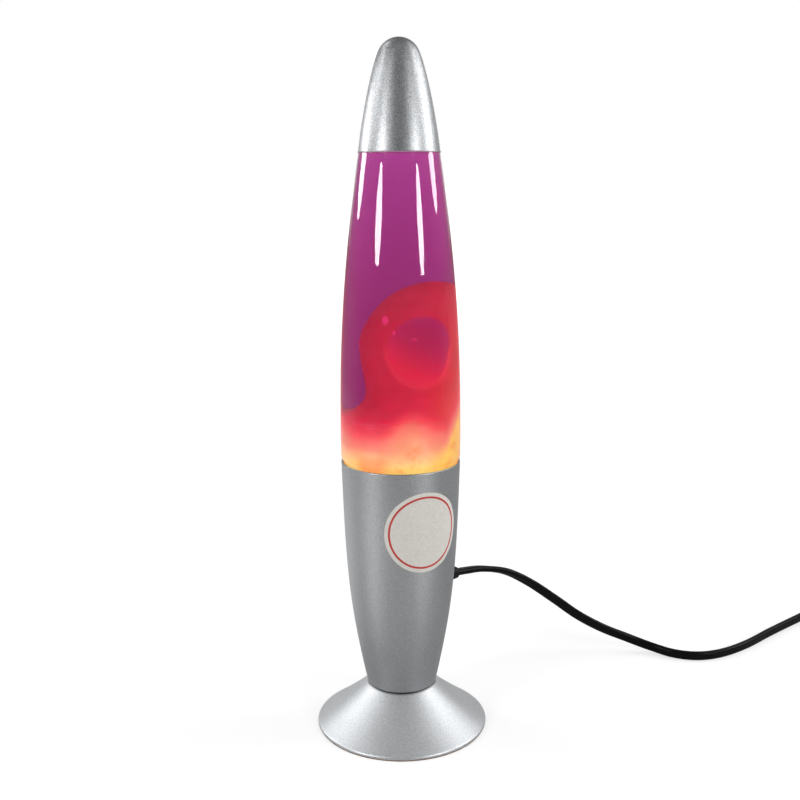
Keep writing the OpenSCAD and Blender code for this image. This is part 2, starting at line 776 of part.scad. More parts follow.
module socket_body() {
    bore = shell_r + 2 * thread_gap;
    color("#e8e4da")
        translate([0, 0, socket_z])
            difference() {
                turned([
                    [0, 0], [socket_r - waist_in - 0.5, 0], [socket_r - waist_in, 0.5], [socket_r - waist_in, 7],
                    [socket_r, 8.5], [socket_r, socket_h - 1], [socket_r - 0.8, socket_h], [bore + 1, socket_h],
                    [bore, socket_h - 1], [bore, shell_seat], [contact_bore, shell_seat],
                    [contact_bore, contact_floor], [0, contact_floor]
                ]);
                translate([0, 0, -1])
                    cylinder(r = mount_screw_r + thread_gap, h = mount_screw_in + 1.5);
                at_terminals()
                    translate([block_in - seat_gap, -block_w / 2 - seat_gap, pocket_z])
                        cube([10, block_w + 2 * seat_gap, terminal_top_z - socket_z - pocket_z + seat_gap]);
            }
}
module socket_shell() {
    seat = socket_z + shell_seat;
    color(brass)
        shell([[screw_r - 0.2, seat], [shell_r, seat], [shell_r, socket_z + socket_h - 2.5]], shell_wall);
}
module socket_contact() {
    t = 0.4;
    low = socket_z + contact_floor + t / 2;
    high = bulb_z - seat_gap - t / 2;
    bend = (high - low) / 2;
    color(brass)
        strip(concat([[-4.6, low]], arc([2.6, low + bend], bend, -90, 90, 8), [[-1.6, high]]), t, 4);
}
module socket_terminals() {
    color(brass)
        at_terminals()
            difference() {
                translate([block_in, -block_w / 2, socket_z + pocket_z])
                    cube([block_out - block_in, block_w, terminal_top_z - socket_z - pocket_z]);
                translate([block_out - 3.5, 0, socket_z + 3.4])
                    rotate([0, 90, 0])
                        cylinder(r = 1.2 + face_gap, h = 5);
            }
}
module terminal_screws() {
    color(steel)
        at_terminals()
            translate([block_out, 0, socket_z + 3.4])
                rotate([0, 90, 0]) {
                    translate([0, 0, -3])
                        cylinder(r = 1.2, h = 3);
                    cylinder(r1 = 2, r2 = 1.7, h = 1.1);
                }
}
module inner_wire(side) {
    tube(wire_rings_of(wire_path(side), -exit_dir, [0, 0, -1]));
}
// Rings of a round wire that may run upright, so its frame keeps to one side
function wire_rings_of(path, first, last) =
    let (
        dirs = headings(path, first, last),
        across = [-sin(cord_exit_turn), cos(cord_exit_turn), 0]
    )
    [
        for (i = [0:len(path) - 1])
            let (
                side = unit(across - (across * dirs[i]) * dirs[i]),
                up = cross(dirs[i], side)
            )
            [for (q = wire_shape) path[i] + q[0] * side + q[1] * up]
    ];
module live_wire() {
    color("#6b3f22")
        inner_wire(1);
}
module neutral_wire() {
    color("#2f62a8")
        inner_wire(-1);
}

// Reflector lamp
module bulb_envelope() {
    color("#dfe3e6")
        shell(bulb_line, bulb_wall);
}
module bulb_cap() {
    color("#b9b4a4")
        shell([
            [screw_r - 1.7, bulb_z + 3], [screw_r, bulb_z + 4.2], [screw_r, thread_end_z],
            [skirt_r, skirt_z - 1], [skirt_r, skirt_z]
        ], 0.4);
}
module bulb_insulator() {
    color(black)
        turned([
            [1.8 + face_gap, bulb_z + 0.8], [2.8, bulb_z + 0.8], [screw_r - 2, bulb_z + 3 - face_gap],
            [1.8 + face_gap, bulb_z + 3 - face_gap]
        ]);
}
module bulb_contact() {
    color(steel)
        turned([
            [0, bulb_z], [1.2, bulb_z], [2.2, bulb_z + 0.75], [1.8, bulb_z + 0.8],
            [1.8, bulb_z + 2.9], [0, bulb_z + 2.9]
        ]);
}
module bulb_mount() {
    color("#cfd8da")
        turned([
            [0, bulb_neck_z + 0.2], [bulb_neck_r - bulb_wall - seat_gap, bulb_neck_z + 0.2], [4.4, bulb_neck_z + 4],
            [2.7, bulb_neck_z + 8], [2.7, mount_z], [0, mount_z]
        ]);
}
// One wire: up from the mount, round the ring and down again
module bulb_filament() {
    foot_1 = [1.9 * cos(30), 1.9 * sin(30), mount_z + seat_gap];
    foot_2 = [1.9 * cos(30), -1.9 * sin(30), mount_z + seat_gap];
    loop = [for (a = [30:20:330]) [filament_r * cos(a), filament_r * sin(a), filament_z, 0]];
    route = concat([[foot_1[0], foot_1[1], foot_1[2], 0]], loop, [[foot_2[0], foot_2[1], foot_2[2], 0]]);
    color(steel)
        tube(route_rings(
            route, unit(place(loop[0]) - foot_1), unit(foot_2 - place(loop[15])), round_section(0.3, 6)
        ));
}

// Bottle and what it holds
module bottle() {
    color("#c9b7d6", 0.4)
        turned(concat(bottle_line, flip(hollow_line)));
}
module hollow(gap) {
    line = inset(hollow_line, gap);
    turned(concat(line, [[0, lip_z]]));
}
// The wax's round masses, grown by a gap
module wax_masses(gap) {
    translate(dome_c)
        sphere(dome_r + gap);
    difference() {
        union() {
            translate(lump_c)
                sphere(wax_lump_r + gap);
            translate(crest_c)
                sphere(crest_r + gap);
            translate(waist_c)
                sphere(waist_r + gap);
        }
        translate(dimple_c)
            sphere(dimple_r - gap);
    }
}
module wire_room() {
    rotate_extrude()
        translate([wire_ring_r, wire_z])
            circle(wire_curl_r + wire_d / 2 + fill_gap);
}
module liquid() {
    color("#a04a9a", 0.6)
        difference() {
            intersection() {
                hollow(fill_gap);
                cylinder(r = glass_r, h = cap_z + fill_h);
            }
            wax_masses(fill_gap);
        }
}
module wax() {
    color("#e0474f")
        difference() {
            intersection() {
                hollow(2 * fill_gap);
                wax_masses(0);
            }
            wire_room();
        }
}
module wire_coil() {
    color(steel)
        tube(wire_rings);
}
module crown_liner() {
    color("#d8d8d4")
        translate([0, 0, lip_z])
            cylinder(r = lip_r - 0.4, h = liner_t);
}
module crown_cap() {
    low = lip_z - crown_skirt;
    high = lip_z + liner_t;
    color(steel)
        difference() {
            union() {
                translate([0, 0, low])
                    linear_extrude(crown_skirt - 1.4)
                        polygon([
                            for (i = [0:4 * crown_flutes - 1])
                                let (a = 360 * i / (4 * crown_flutes))
                                (crown_r + crown_t + flute_depth * (1 + cos(crown_flutes * a)) / 2) * [cos(a), sin(a)]
                        ]);
                translate([0, 0, low])
                    cylinder(r = crown_r + crown_t / 2, h = high - low);
                translate([0, 0, high - face_gap])
                    cylinder(r1 = crown_r + crown_t / 2, r2 = crown_r - 0.6, h = crown_t + face_gap);
            }
            translate([0, 0, low - 1])
                cylinder(r = lip_r + seat_gap, h = high - low + 1);
        }
}
module cap() {
    color(silver)
        shell(cap_line, cap_wall);
}

// Cord
module cord_lead() {
    color(black)
        tube(route_rings(lead_path, exit_dir, [0, -1, 0], cord_shape));
}
module cord_link() {
    color(black)
        tube(route_rings(link_path, [0, -1, 0], coil_first, cord_shape));
}
module cord_coil() {
    color(black)
        tube(coil_rings);
}
module cord_tail() {
    color(black)
        tube(route_rings(tail_path, coil_last, plug_dir, cord_shape));
}
module rounded_plan(w, h, r) {
    polygon(concat(
        arc([w / 2 - r, h / 2 - r], r, 0, 90, 4), arc([r - w / 2, h / 2 - r], r, 90, 180, 4),
        arc([r - w / 2, r - h / 2], r, 180, 270, 4), arc([w / 2 - r, r - h / 2], r, 270, 360, 4)
    ));
}
module cord_tie() {
    inner_w = coil_pitch * turns / 2 + cord_t + 2 * slip_gap;
    inner_h = 2 * cord_w + coil_gap + 2 * seat_gap;
    color("#2a2a2c")
        translate([coil_c[0], coil_c[1], tie_t + inner_h / 2])
            rotate([90, 0, -90])
                translate([coil_mid_r, 0, -tie_w / 2])
                    linear_extrude(tie_w)
                        difference() {
                            rounded_plan(inner_w + 2 * tie_t, inner_h + 2 * tie_t, 1.5 + tie_t);
                            rounded_plan(inner_w, inner_h, 1.5);
                        }
}

// Switch
module at_switch() {
    translate(switch_c)
        rotate(-90)
            children();
}
// The switch's outline from above, drawn in by a wall
module switch_plan(in) {
    half_l = switch_l / 2 - in;
    half_w = switch_w / 2 - in;
    end_w = switch_end_w - in;
    nose = switch_nose - in;
    quarter = [
        for (i = [0:6])
            let (a = 15 * i)
            [half_l - nose + nose * sin(a), end_w + (half_w - end_w) * cos(a)]
    ];
    left = [for (p = quarter) [-p[0], p[1]]];
    polygon(concat(
        quarter, [for (p = flip(quarter)) [p[0], -p[1]]], [for (p = left) [p[0], -p[1]]], flip(left)
    ));
}
// Everything below the switch's arched top, lowered by a wall
module switch_arch(in) {
    top = [
        for (i = [-8:8])
            let (u = i / 8)
            [u * (switch_l / 2 + 1), switch_h - in - switch_drop * u * u]
    ];
    rotate([90, 0, 0])
        linear_extrude(switch_w + 2, center = true)
            polygon(concat([[switch_l / 2 + 1, 0], [-switch_l / 2 - 1, 0]], top));
}
module cord_slots() {
    for (end = [-1, 1])
        translate([end * switch_l / 2, 0, cord_z])
            cube([4 * switch_wall + 2 * slot_depth, cord_t + 4 * thread_gap, cord_w + 4 * thread_gap], center = true);
}
module at_screws() {
    for (end = [-1, 1])
        translate([end * screw_x, 0, 0])
            children();
}
module switch_base() {
    color(black)
        at_switch()
            difference() {
                union() {
                    difference() {
                        linear_extrude(switch_split)
                            switch_plan(0);
                        translate([0, 0, switch_wall])
                            linear_extrude(switch_split)
                                switch_plan(switch_wall);
                    }
                    at_screws()
                        cylinder(r = post_r, h = switch_split);
                }
                cord_slots();
                at_screws() {
                    translate([0, 0, -1])
                        cylinder(r = screw_shank_r + 2 * thread_gap, h = switch_split + 2);
                    translate([0, 0, -1])
                        cylinder(r = screw_head_r + 2 * thread_gap, h = 1 + screw_head_h + 2 * thread_gap);
                }
            }
}
module switch_cover() {
    open_l = 2 * (rocker_r + rocker_gap);
    open_w = rocker_w + 2 * rocker_gap;
    low = switch_split + face_gap;
    color(black)
        at_switch()
            difference() {
                union() {
                    difference() {
                        intersection() {
                            translate([0, 0, low])
                                linear_extrude(switch_h)
                                    switch_plan(0);
                            switch_arch(0);
                        }
                        intersection() {
                            linear_extrude(switch_h)
                                switch_plan(switch_wall);
                            switch_arch(switch_wall);
                        }
                    }
                    intersection() {
                        translate([0, 0, low + 1 + switch_h / 2])
                            cube([open_l + 2 * collar_t, open_w + 2 * collar_t, switch_h], center = true);
                        switch_arch(switch_wall / 2);
                    }
                    intersection() {
                        at_screws()
                            translate([0, 0, low])
                                cylinder(r = post_r, h = switch_h);
                        switch_arch(switch_wall / 2);
                    }
                }
                translate([0, 0, switch_h])
                    cube([open_l, open_w, 2 * switch_h], center = true);
                translate([0, 0, rocker_z])
                    rotate([90, 0, 0])
                        cylinder(r = trunnion_r + pivot_gap, h = open_w + 2 * collar_t + 1, center = true);
                cord_slots();
                at_screws()
                    cylinder(r = screw_shank_r + thread_gap, h = switch_split + 4);
            }
}
module switch_rocker() {
    rise = rocker_dish_z + rocker_r * tan(rocker_tilt);
    color("#26262a")
        at_switch()
            translate([0, 0, rocker_z])
                rotate([0, rocker_tilt, 0])
                    rotate([90, 0, 0]) {
                        intersection() {
                            cylinder(r = rocker_r, h = rocker_w, center = true);
                            linear_extrude(rocker_w + 2, center = true)
                                polygon([
                                    [-rocker_r - 1, -rocker_low_z], [rocker_r + 1, -rocker_low_z],
                                    [rocker_r + 1, rise], [0, rocker_dish_z], [-rocker_r - 1, rise]
                                ]);
                        }
                        cylinder(r = trunnion_r, h = rocker_w + 2 * rocker_gap + 1.6 * collar_t, center = true);
                    }
}
module switch_screws() {
    color(steel)
        at_switch()
            at_screws() {
                translate([0, 0, 0.2])
                    cylinder(r = screw_head_r, h = screw_head_h);
                translate([0, 0, 0.2])
                    cylinder(r = screw_shank_r, h = switch_split + 3);
            }
}
module switch_contacts() {
    t = 0.8;
    low = switch_wall + face_gap + t / 2;
    color(brass)
        at_switch()
            for (end = [0, 180])
                rotate(end)
                    strip(concat(
                        [[14.5, low]], arc([5.5, low + 1.5], 1.5, -90, -180, 4), [[4, low + 4]]
                    ), t, 5);
}

// Plug
module at_plug() {
    translate(plug_tip)
        rotate(plug_turn)
            children();
}
module plug_body() {
    rear = plug_guard;
    front = plug_guard + plug_l;
    half = plug_w / 2;
    flank = concat(
        bezier([rear, 6.5], [rear + 9, 7.5], [rear + 10, half], [rear + 0.62 * plug_l, half], 8),
        arc([front - plug_corner, half - plug_corner], plug_corner, 90, 0, 5)
    );
    crown = concat(
        bezier([rear, 4.8], [rear + 6, 5], [rear + 8, plug_t / 2], [rear + 0.5 * plug_l, plug_t / 2], 6),
        [[front - 1, plug_t / 2], [front, plug_t / 2 - 1]]
    );
    rib = plug_guard / (guard_ribs + 1);
    color(black)
        at_plug()
            difference() {
                union() {
                    intersection() {
                        linear_extrude(plug_t, center = true)
                            polygon(concat(flank, [for (p = flip(flank)) [p[0], -p[1]]]));
                        rotate([90, 0, 0])
                            linear_extrude(plug_w + 2, center = true)
                                polygon(concat(crown, [for (p = flip(crown)) [p[0], -p[1]]]));
                    }
                    rotate([0, 90, 0])
                        difference() {
                            turned([
                                [0, 0], [guard_tip_r, 0], [guard_root_r, plug_guard + 1], [0, plug_guard + 1]
                            ]);
                            for (i = [1:guard_ribs])
                                translate([0, 0, i * rib])
                                    difference() {
                                        cylinder(r = guard_root_r + 1, h = 1.3, center = true);
                                        cylinder(r = guard_tip_r - 0.1, h = 2, center = true);
                                    }
                        }
                }
                for (side = [-1, 1])
                    translate([front - pin_seat - thread_gap, side * pin_pitch / 2, 0])
                        rotate([0, 90, 0])
                            cylinder(r = pin_root_r + face_gap, h = pin_seat + 1);
            }
}
module plug_pins() {
    color("#c5b88a")
        at_plug()
            for (side = [-1, 1])
                translate([plug_guard + plug_l, side * pin_pitch / 2, 0])
                    rotate([0, 90, 0]) {
                        translate([0, 0, -pin_seat])
                            cylinder(r = pin_root_r, h = pin_seat + 1);
                        cylinder(r = pin_r, h = pin_l - pin_r);
                        translate([0, 0, pin_l - pin_r])
                            sphere(pin_r, $fn = 48);
                    }
}

foot();
foot_pad();
stem();
stem_nuts();
stem_washers();
holder();
cord_bushing();
socket_bracket();
bracket_screw();
socket_body();
socket_shell();
socket_contact();
socket_terminals();
terminal_screws();
live_wire();
neutral_wire();
bulb_envelope();
bulb_cap();
bulb_insulator();
bulb_contact();
bulb_mount();
bulb_filament();
bottle();
liquid();
wax();
wire_coil();
crown_cap();
crown_liner();
cap();
cord_lead();
switch_base();
switch_cover();
switch_rocker();
switch_screws();
switch_contacts();
cord_link();
cord_coil();
cord_tie();
cord_tail();
plug_body();
plug_pins();
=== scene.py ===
"""Liquid motion lamp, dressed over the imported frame.

Lengths are in millimetres, and MM turns them into Blender's metres. Only the studio is set up in metres.
"""

import json
import math

import bpy
import numpy as np
from mathutils import Matrix


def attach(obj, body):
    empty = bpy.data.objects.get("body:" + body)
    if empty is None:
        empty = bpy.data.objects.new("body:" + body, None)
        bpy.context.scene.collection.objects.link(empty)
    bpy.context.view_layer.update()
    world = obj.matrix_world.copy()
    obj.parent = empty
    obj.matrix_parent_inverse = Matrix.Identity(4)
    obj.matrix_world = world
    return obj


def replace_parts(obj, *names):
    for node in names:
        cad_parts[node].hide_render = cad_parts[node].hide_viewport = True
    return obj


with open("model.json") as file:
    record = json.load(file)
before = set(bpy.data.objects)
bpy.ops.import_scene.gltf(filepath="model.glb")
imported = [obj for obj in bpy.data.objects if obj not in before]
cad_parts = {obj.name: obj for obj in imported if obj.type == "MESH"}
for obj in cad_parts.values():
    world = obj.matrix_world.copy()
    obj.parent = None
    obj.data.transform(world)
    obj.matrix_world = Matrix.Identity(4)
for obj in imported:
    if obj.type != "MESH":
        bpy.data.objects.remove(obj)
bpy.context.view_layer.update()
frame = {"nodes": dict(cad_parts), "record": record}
nodes = frame["nodes"]
slots = {part["node"]: part["material_slot"] for part in frame["record"]["subparts"]}
scene = bpy.context.scene
scene.view_settings.view_transform = "Standard"

MM = 0.001


def extent(name):
    """The lowest and the highest corner of a node of the frame."""
    points = np.array([v.co for v in nodes[name].data.vertices]) / MM
    return np.round(points.min(axis=0), 3), np.round(points.max(axis=0), 3)


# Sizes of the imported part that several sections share
SEAT_GAP, THREAD_GAP, FILL_GAP = 0.3, 0.1, 0.15
BOTTLE_SINK, GLASS_H = 26.5, 153.2
FOOT_H = extent("foot")[1][2]
BOTTLE_Z, LIP_Z = (corner[2] for corner in extent("bottle"))
RIM = BOTTLE_Z + BOTTLE_SINK
CAP_Z = RIM + GLASS_H


# Curves
def unit(v):
    v = np.asarray(v, float)
    return v / np.linalg.norm(v)


def ease(u):
    """From 0 to 1 with a soft start and a soft end."""
    u = np.clip(u, 0, 1)
    return u * u * (3 - 2 * u)


def circle(count):
    """Angles spaced evenly over a full turn."""
    return np.arange(count) * 2 * math.pi / count


def bezier(p0, p1, p2, p3, count):
    t = np.linspace(0, 1, count + 1)[:, None]
    s = 1 - t
    p0, p1, p2, p3 = (np.asarray(p, float) for p in (p0, p1, p2, p3))
    return s**3 * p0 + 3 * s * s * t * p1 + 3 * s * t * t * p2 + t**3 * p3


def leaning(p, lean, length):
    """The point at a length from p, upwards with an outward lean in degrees."""
    a = math.radians(lean)
    return np.asarray(p, float) + length * np.array([math.sin(a), math.cos(a)])


def inset(line, d):
    """A line in a plane moved to its left, with mitred corners."""
    line = np.asarray(line, float)
    out = []
    for i, p in enumerate(line):
        before = unit(line[1] - p) if i == 0 else unit(p - line[i - 1])
        after = before if i == len(line) - 1 else unit(line[i + 1] - p)
        side = np.array([-before[1], before[0]])
        mitre = unit(side + [-after[1], after[0]])
        out.append(p + d / (mitre @ side) * mitre)
    return np.array(out)


def radius_at(line, z):
    """The radius of a turned line that rises all the way."""
    return np.interp(z, line[:, 1], line[:, 0])


def catmull(points, steps):
    """A smooth curve through points, with steps between each pair."""
    p = np.asarray(points, float)
    out = []
    for i in range(len(p) - 1):
        before, start, end, after = p[max(i - 1, 0)], p[i], p[i + 1], p[min(i + 2, len(p) - 1)]
        for t in np.arange(steps) / steps:
            out.append((2 * start + t * (end - before) + t * t * (2 * before - 5 * start + 4 * end - after)
                        + t**3 * (3 * start - before - 3 * end + after)) / 2)
    return np.array(out + [p[-1]])


def headings(path, first=None, last=None):
    """The direction of a path at each of its points; the two ends may be given."""
    d = np.empty_like(path)
    d[1:-1] = path[2:] - path[:-2]
    d[0] = path[1] - path[0] if first is None else first
    d[-1] = path[-1] - path[-2] if last is None else last
    return d / np.linalg.norm(d, axis=1)[:, None]


# Meshes
def add_mesh(name, shape, body, look, sharp):
    """A piece from points and faces, which rides on a body; edges above the sharp angle stay sharp."""
    verts, faces = shape
    mesh = bpy.data.meshes.new(name)
    mesh.from_pydata([tuple(MM * c for c in v) for v in verts], [], [tuple(f) for f in faces])
    mesh.validate()
    mesh.shade_smooth()
    mesh.set_sharp_from_angle(angle=math.radians(sharp))
    mesh.materials.append(materials[look])
    obj = bpy.data.objects.new(name, mesh)
    scene.collection.objects.link(obj)
    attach(obj, body)
    return obj


def joined(meshes):
    """Several meshes as one."""
    verts, faces = [], []
    for points, polygons in meshes:
        faces += [tuple(len(verts) + k for k in polygon) for polygon in polygons]
        verts += list(points)
    return verts, faces


def ring_faces(rows, cols, closed_rows=False):
    """Quads between rings of points, each ring closed."""
    faces = []
    for i in range(rows if closed_rows else rows - 1):
        j = (i + 1) % rows
        for k in range(cols):
            m = (k + 1) % cols
            faces.append((i * cols + k, i * cols + m, j * cols + m, j * cols + k))
    return faces


def tube_mesh(rings):
    """Points and faces of a tube with flat ends."""
    rings = np.asarray(rings, float)
    m, n = rings.shape[:2]
    faces = ring_faces(m, n)
    faces.append(tuple(range(n - 1, -1, -1)))
    faces.append(tuple(range((m - 1) * n, m * n)))
    return rings.reshape(-1, 3), faces


def flat_rings(path, rolls, shape, first, last):
    """Rings of a flat section along a path; the roll turns the wide side up from level, in degrees."""
    rings = []
    for p, d, roll in zip(path, headings(path, first, last), np.radians(rolls)):
        side = unit(np.cross(d, [0, 0, 1]))
        up = np.cross(side, d)
        wide = math.cos(roll) * side + math.sin(roll) * up
        thin = math.cos(roll) * up - math.sin(roll) * side
        rings.append([p + a * wide + b * thin for a, b in shape])
    return rings


def round_rings(path, radius, sides, across=(0, 0, 1), first=None, last=None):
    """Rings of a round wire whose frame is carried along the path without twist."""
    rings, ref = [], np.asarray(across, float)
    radius = np.broadcast_to(radius, len(path))
    for p, d, r in zip(path, headings(path, first, last), radius):
        ref = unit(ref - (ref @ d) * d)
        up = np.cross(d, ref)
        rings.append([p + r * (math.cos(a) * ref + math.sin(a) * up) for a in circle(sides)])
    return rings


def lathe_mesh(profile, count):
    """Points and faces of a turned solid; the profile's ends may lie on the axis."""
    verts, faces, rows = [], [], []
    for r, z in profile:
        if r < 1e-6:
            rows.append([len(verts)])
            verts.append((0, 0, z))
        else:
            rows.append(list(range(len(verts), len(verts) + count)))
            verts += [(r * math.cos(a), r * math.sin(a), z) for a in circle(count)]
    for low, high in zip(rows, rows[1:]):
        for k in range(count):
            m = (k + 1) % count
            if len(low) == 1:
                faces.append((low[0], high[m], high[k]))
            elif len(high) == 1:
                faces.append((low[k], low[m], high[0]))
            else:
                faces.append((low[k], low[m], high[m], high[k]))
    return verts, faces


def surface_nets(field, origin, step):
    """Points and faces of a field's zero surface on a grid, one point in each cell that it crosses."""
    inside = field < 0
    cells = tuple(n - 1 for n in field.shape)
    total, count = np.zeros(cells + (3,)), np.zeros(cells)
    corners = [(i, j, k) for i in (0, 1) for j in (0, 1) for k in (0, 1)]

    def at(values, corner):
        return values[tuple(slice(c, n + c) for c, n in zip(corner, cells))]

    for a in corners:
        for b in corners:
            if sum(abs(p - q) for p, q in zip(a, b)) == 1 and a < b:
                crossed = at(inside, a) != at(inside, b)
                here, there = at(field, a), at(field, b)
                share = np.where(crossed, here / np.where(crossed, here - there, 1), 0)
                for axis in range(3):
                    total[..., axis] += np.where(crossed, a[axis] + share * (b[axis] - a[axis]), 0)
                count += crossed
    used = count > 0
    index = np.full(cells, -1)
    index[used] = np.arange(used.sum())
    verts = np.argwhere(used) + total[used] / count[used][:, None]
    faces = []
    for axis in range(3):
        u, v = (axis + 1) % 3, (axis + 2) % 3
        low = [slice(1, -1)] * 3
        low[axis] = slice(0, -1)
        high = list(low)
        high[axis] = slice(1, None)
        change = inside[tuple(low)].astype(int) - inside[tuple(high)].astype(int)
        for sign in (1, -1):
            edges = np.argwhere(change == sign)
            edges[:, u] += 1
            edges[:, v] += 1
            quad = []
            for back_u, back_v in ((1, 1), (0, 1), (0, 0), (1, 0)):
                cell = edges.copy()
                cell[:, u] -= back_u
                cell[:, v] -= back_v
                quad.append(index[tuple(cell.T)])
            faces.append(np.stack(quad if sign == 1 else quad[::-1], axis=1))
    return np.asarray(origin) + step * verts, np.concatenate(faces)


# Camera, fitted to the rings of cap, holder and foot
LENS, SENSOR, SHIFT_X = 48.36, 36, -0.0005
CLIP_NEAR, CLIP_FAR = 10, 100000
EYE = (0, -532.3, 283.7)
LOOK_DOWN, ROLL = 11.58, -0.28

camera = bpy.data.objects.new("camera", bpy.data.cameras.new("camera"))
scene.collection.objects.link(camera)
camera.data.sensor_width = SENSOR
camera.data.lens = LENS
camera.data.shift_x = SHIFT_X
camera.data.clip_start, camera.data.clip_end = MM * CLIP_NEAR, MM * CLIP_FAR
camera.matrix_world = (
    Matrix.Translation([MM * c for c in EYE])
    @ Matrix.Rotation(math.radians(90 - LOOK_DOWN), 4, "X")
    @ Matrix.Rotation(math.radians(ROLL), 4, "Z")
)
scene.camera = camera


# Materials
def srgb(r, g, b):
    """A display colour, 0 to 255, as the linear colour that a shader takes."""
    return tuple(((c / 255 + 0.055) / 1.055) ** 2.4 if c > 10 else c / 255 / 12.92 for c in (r, g, b)) + (1,)


def scaled(colour, k):
    return tuple(min(1, c * k) for c in colour[:3]) + (1,)


class Graph:
    """Short names for the nodes of a shader tree; a value is a number, a colour or another node's output."""

    def __init__(self, tree):
        self.tree = tree

    def new(self, kind, **props):
        n = self.tree.nodes.new(kind)
        for k, v in props.items():
            setattr(n, k, v)
        return n

    def put(self, socket, value):
        if hasattr(value, "links"):
            self.tree.links.new(value, socket)
        else:
            socket.default_value = value

    def math(self, operation, a, b=0.0):
        n = self.new("ShaderNodeMath", operation=operation)
        self.put(n.inputs[0], a)
        self.put(n.inputs[1], b)
        return n.outputs[0]

    def plus(self, a, b):
        return self.math("ADD", a, b)

    def minus(self, a, b):
        return self.math("SUBTRACT", a, b)

    def times(self, a, b):
        return self.math("MULTIPLY", a, b)

    def span(self, value, low, high, to_low=0.0, to_high=1.0, smooth=False):
        """A value that runs from low to high, carried over to another range and held at its ends."""
        n = self.new("ShaderNodeMapRange", interpolation_type="SMOOTHSTEP" if smooth else "LINEAR")
        for i, v in enumerate((value, low, high, to_low, to_high)):
            self.put(n.inputs[i], v)
        return n.outputs[0]

    def split(self, vector):
        n = self.new("ShaderNodeSeparateXYZ")
        self.put(n.inputs[0], vector)
        return n.outputs

    def length(self, vector):
        n = self.new("ShaderNodeVectorMath", operation="LENGTH")
        self.put(n.inputs[0], vector)
        return n.outputs["Value"]

    def light_path(self):
        """Whether a ray mirrors, and whether it is what the eye sees, straight on or through glass."""
        path = self.new("ShaderNodeLightPath").outputs
        return path["Is Glossy Ray"], self.math("MAXIMUM", path["Is Camera Ray"], path["Is Transmission Ray"])


class Look(Graph):
    """A material of nodes round one Principled shader, with coordinates of the object itself."""

    def __init__(self, name):
        self.name = name
        self.material = bpy.data.materials.new(name)
        self.material.use_nodes = True
        super().__init__(self.material.node_tree)
        self.shader = self.tree.nodes["Principled BSDF"]
        self.coords = self.new("ShaderNodeTexCoord").outputs["Object"]

    def set(self, **values):
        for k, v in values.items():
            self.put(self.shader.inputs[k.replace("_", " ")], v)
        return self

    def axes(self):
        return self.split(self.coords)

    def reach(self, value, low, high, to_low=0.0, to_high=1.0, smooth=False):
        """A span whose two places are in millimetres."""
        return self.span(value, MM * low, MM * high, to_low, to_high, smooth)

    def distance(self, middle, stretch):
        """How far a place is from a middle, with the shares by which a ball round it is stretched."""
        square = 0.0
        for axis, centre, share in zip(self.axes(), middle, stretch):
            off = self.math("DIVIDE", self.minus(axis, MM * centre), share)
            square = self.plus(self.math("POWER", self.math("ABSOLUTE", off), 2.0), square)
        return self.math("SQRT", square)

    def noise(self, scale, detail=3.0, rough=0.55, stretch=None):
        n = self.new("ShaderNodeTexNoise")
        vector = self.coords
        if stretch:
            m = self.new("ShaderNodeMapping")
            self.put(m.inputs["Vector"], vector)
            m.inputs["Scale"].default_value = stretch
            vector = m.outputs[0]
        self.put(n.inputs["Vector"], vector)
        n.inputs["Scale"].default_value = scale
        n.inputs["Detail"].default_value = detail
        n.inputs["Roughness"].default_value = rough
        return n.outputs["Fac"]

    def ramp(self, value, *stops):
        n = self.new("ShaderNodeValToRGB")
        e = n.color_ramp.elements
        while len(e) < len(stops):
            e.new(0.5)
        for item, (place, colour) in zip(e, stops):
            item.position = place
            item.color = colour
        self.put(n.inputs["Fac"], value)
        return n.outputs["Color"]

    def mix(self, factor, a, b, blend="MIX"):
        n = self.new("ShaderNodeMix", data_type="RGBA", blend_type=blend)
        self.put(n.inputs["Factor"], factor)
        self.put(n.inputs[6], a)
        self.put(n.inputs[7], b)
        return n.outputs[2]

    def edge_on(self):
        """0 where the surface faces the eye, 1 where it turns away."""
        n = self.new("ShaderNodeLayerWeight")
        n.inputs["Blend"].default_value = 0.5
        return n.outputs["Facing"]

    def bump(self, *layers):
        """Bumps laid over each other: height, strength, depth."""
        normal = None
        for height, strength, depth in layers:
            n = self.new("ShaderNodeBump")
            n.inputs["Strength"].default_value = strength
            n.inputs["Distance"].default_value = MM * depth
            self.put(n.inputs["Height"], height)
            if normal:
                self.put(n.inputs["Normal"], normal)
            normal = n.outputs["Normal"]
        self.put(self.shader.inputs["Normal"], normal)
        return self

    def absorb(self, colour, density):
        """Colours the light that passes through the inside."""
        n = self.new("ShaderNodeVolumeAbsorption")
        n.inputs["Color"].default_value = colour
        n.inputs["Density"].default_value = density
        self.put(self.tree.nodes["Material Output"].inputs["Volume"], n.outputs[0])
        return self


def plain_look(name, colour, rough, spread, patch, grain, depth, metal=0.0, rough_spread=0.08, specular=0.5):
    """A moulded, glazed or plated finish: slow colour drift, uneven gloss and fine surface grain."""
    look = Look(name)
    drift = look.noise(patch, 4)
    look.set(
        Base_Color=look.ramp(drift, (0.25, scaled(colour, 1 - spread)), (0.75, scaled(colour, 1 + spread))),
        Roughness=look.span(look.noise(patch * 3), 0.3, 0.7, rough - rough_spread, rough + rough_spread),
        Metallic=metal,
        Specular_IOR_Level=specular,
    )
    return look.bump((look.noise(grain, 2), depth, 0.2))


